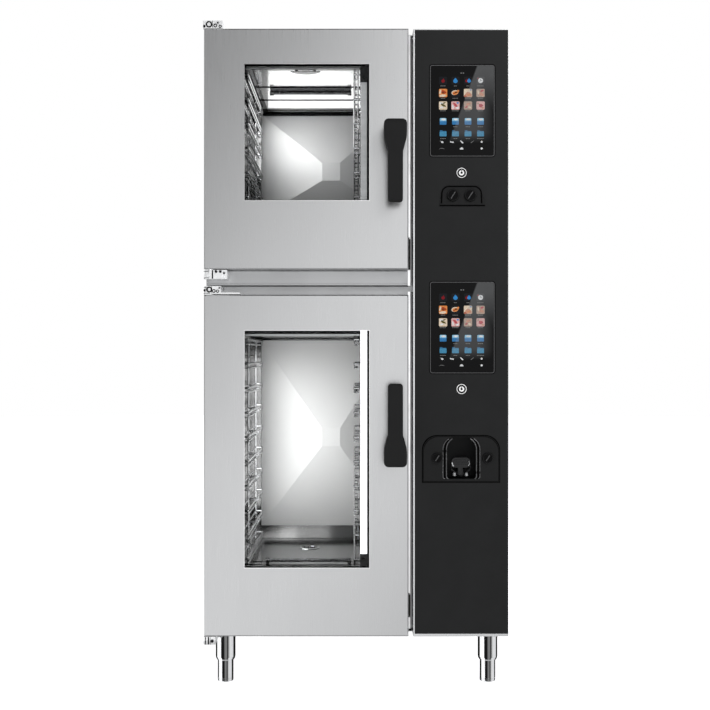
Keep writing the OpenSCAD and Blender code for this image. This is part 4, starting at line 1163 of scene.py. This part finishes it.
hinge_dress("top_hinge", 1824.6, 1845, -374.0,
            [(-385.5, 1838.5, 2.6)], [(-400.5, 1.4)], (-407.5, -357, 1845, 8.0))
hinge_dress("middle_hinge", 1125, 1150, -374.0,
            [(-390.5, 1145.4, 3.9), (-378.5, 1145.4, 3.9), (-368.0, 1141.0, 3.0)], [(-400.5, 3.6)])
hinge_dress("lower_hinge", 1084, 1105, -371.0, [(-381.5, 1100.0, 2.4)], [(-403.0, 1.2)])
hinge_dress("bottom_hinge", 105, 127, -372.0,
            [(-401.5, 115.5, 4.4)], [(-420.0, 2.4), (-412.0, 3.6), (-407.0, 1.4)])
b = Build()
for z in (1128.0, 1146.5, 1085.0, 1101.5):
    b.lathe((-412, -357, z - 0.9), (0, 0, 1), [(0, 14.1), (0.2, 14.9), (1.6, 14.9), (1.8, 14.1)], 32)
b.lathe((-424.6, -345, 1832), (-1, 0, 0), [(0, 5.2), (3.2, 5.2), (4.0, 4.4)], 6)
b.lathe((-424.6, -345, 1138), (-1, 0, 0), [(0, 4.2), (1.4, 4.2)], 6)
b.done("hinge_collars", M["screw"], "base")

b = Build()
for y, eyelets in ((-374.0, ((-410, 1834.5, 9.0, 5.4), (-392.5, 1831, 5.2, 2.8), (-379, 1829, 4.2, 2.2))),
                   (-371.2, ((-410, 1095.5, 8.4, 4.6), (-397, 1091.5, 5.0, 2.8), (-386.5, 1091, 4.4, 2.4)))):
    for x, z, outer, inner in eyelets:
        b.ring(circle(x, z, outer, 28), circle(x, z, inner, 28), y - 0.7, y + 0.5)
for x, z, y in ((-423.2, 1829, -374.0), (-423.0, 1093.5, -366.0)):
    b.lathe((x, y + 0.3, z), (0, -1, 0), [(0, 3.4), (2.0, 3.4), (2.6, 2.4)], 18)
b.done("hinge_eyelets", M["gap"], "base")

# ---------------------------------------------------------------- screw recesses, side and rear seams
SIDE_X = 425.0            # outer faces of the casings
PANELS_Z = ((132, 1090), (1112, 1818))
b = Build()
for x in (-410, -205, 0, 205, 410):
    for z in (141.5, 1080, 1122, 1808):
        for w, h in ((0.55, 2.6), (2.6, 0.55)):
            b.plate(oblong(x - w, x + w, z - h, z + h), 407.7, 408.12)
b.done("rear_screw_recesses", M["gap"], "base")
b = Build()
for s in (-1, 1):
    x0, x1 = sorted((s * (SIDE_X - 0.5), s * (SIDE_X + 0.12)))
    for z0, z1 in PANELS_Z:
        for y in (-284.0, 374.0):
            b.box(x0, x1, y - 0.7, y + 0.7, z0, z1)
b.done("side_seams", M["groove"], "base")
b = Build()
for s in (-1, 1):
    for z0, z1 in PANELS_Z:
        for z in (z0 + 24, (z0 + z1) / 2, z1 - 24):
            screw = [(0, 5.2), (1.2, 5.2), (2.2, 4.0), (2.5, 1.6)]
            b.lathe((s * (SIDE_X - 0.4), 389, z), (s, 0, 0), screw, 24)
b.done("side_screws", M["chrome"], "base")
b = Build()
for z0, z1 in ((127.5, 1094.0), (1108.0, 1822.0)):
    b.ring(oblong(-423, 423, z0 + 2, z1 - 2), oblong(-421.6, 421.6, z0 + 3.4, z1 - 3.4), 404.9, 405.15)
b.done("rear_seams", M["groove"], "base")

# ---------------------------------------------------------------- feet: painted shade rings under the sleeves and fine turned lines
foot_places = {}
for name in FEET:
    lo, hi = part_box(name)
    foot_places[name] = (500 * (lo.x + hi.x), 500 * (lo.y + hi.y), 500 * (hi.x - lo.x))
# dark ring at the lower lip of each sleeve: painted shade in the gap between sleeve and foot
b = Build()
for x, y, r in foot_places.values():
    b.lathe((x, y, 59.6), (0, 0, 1), [(0, r + 0.5), (0.3, r + 2.6), (1.6, r + 3.8), (2.5, r + 3.8)], 40)
b.done("sleeve_lip_painted_shade", M["gap"], "base")
for name, (x, y, r) in foot_places.items():
    b = Build()
    for z in (6.0, 9.0):
        line = [(0, r - 0.1), (0.3, r + 0.25), (1.2, r + 0.25), (1.5, r - 0.1)]
        b.lathe((x, y, z - 1000 * UP), (0, 0, 1), line, 40)
    b.done(name + "_lines", M["chrome"], name)

# ---------------------------------------------------------------- end
lo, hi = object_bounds()
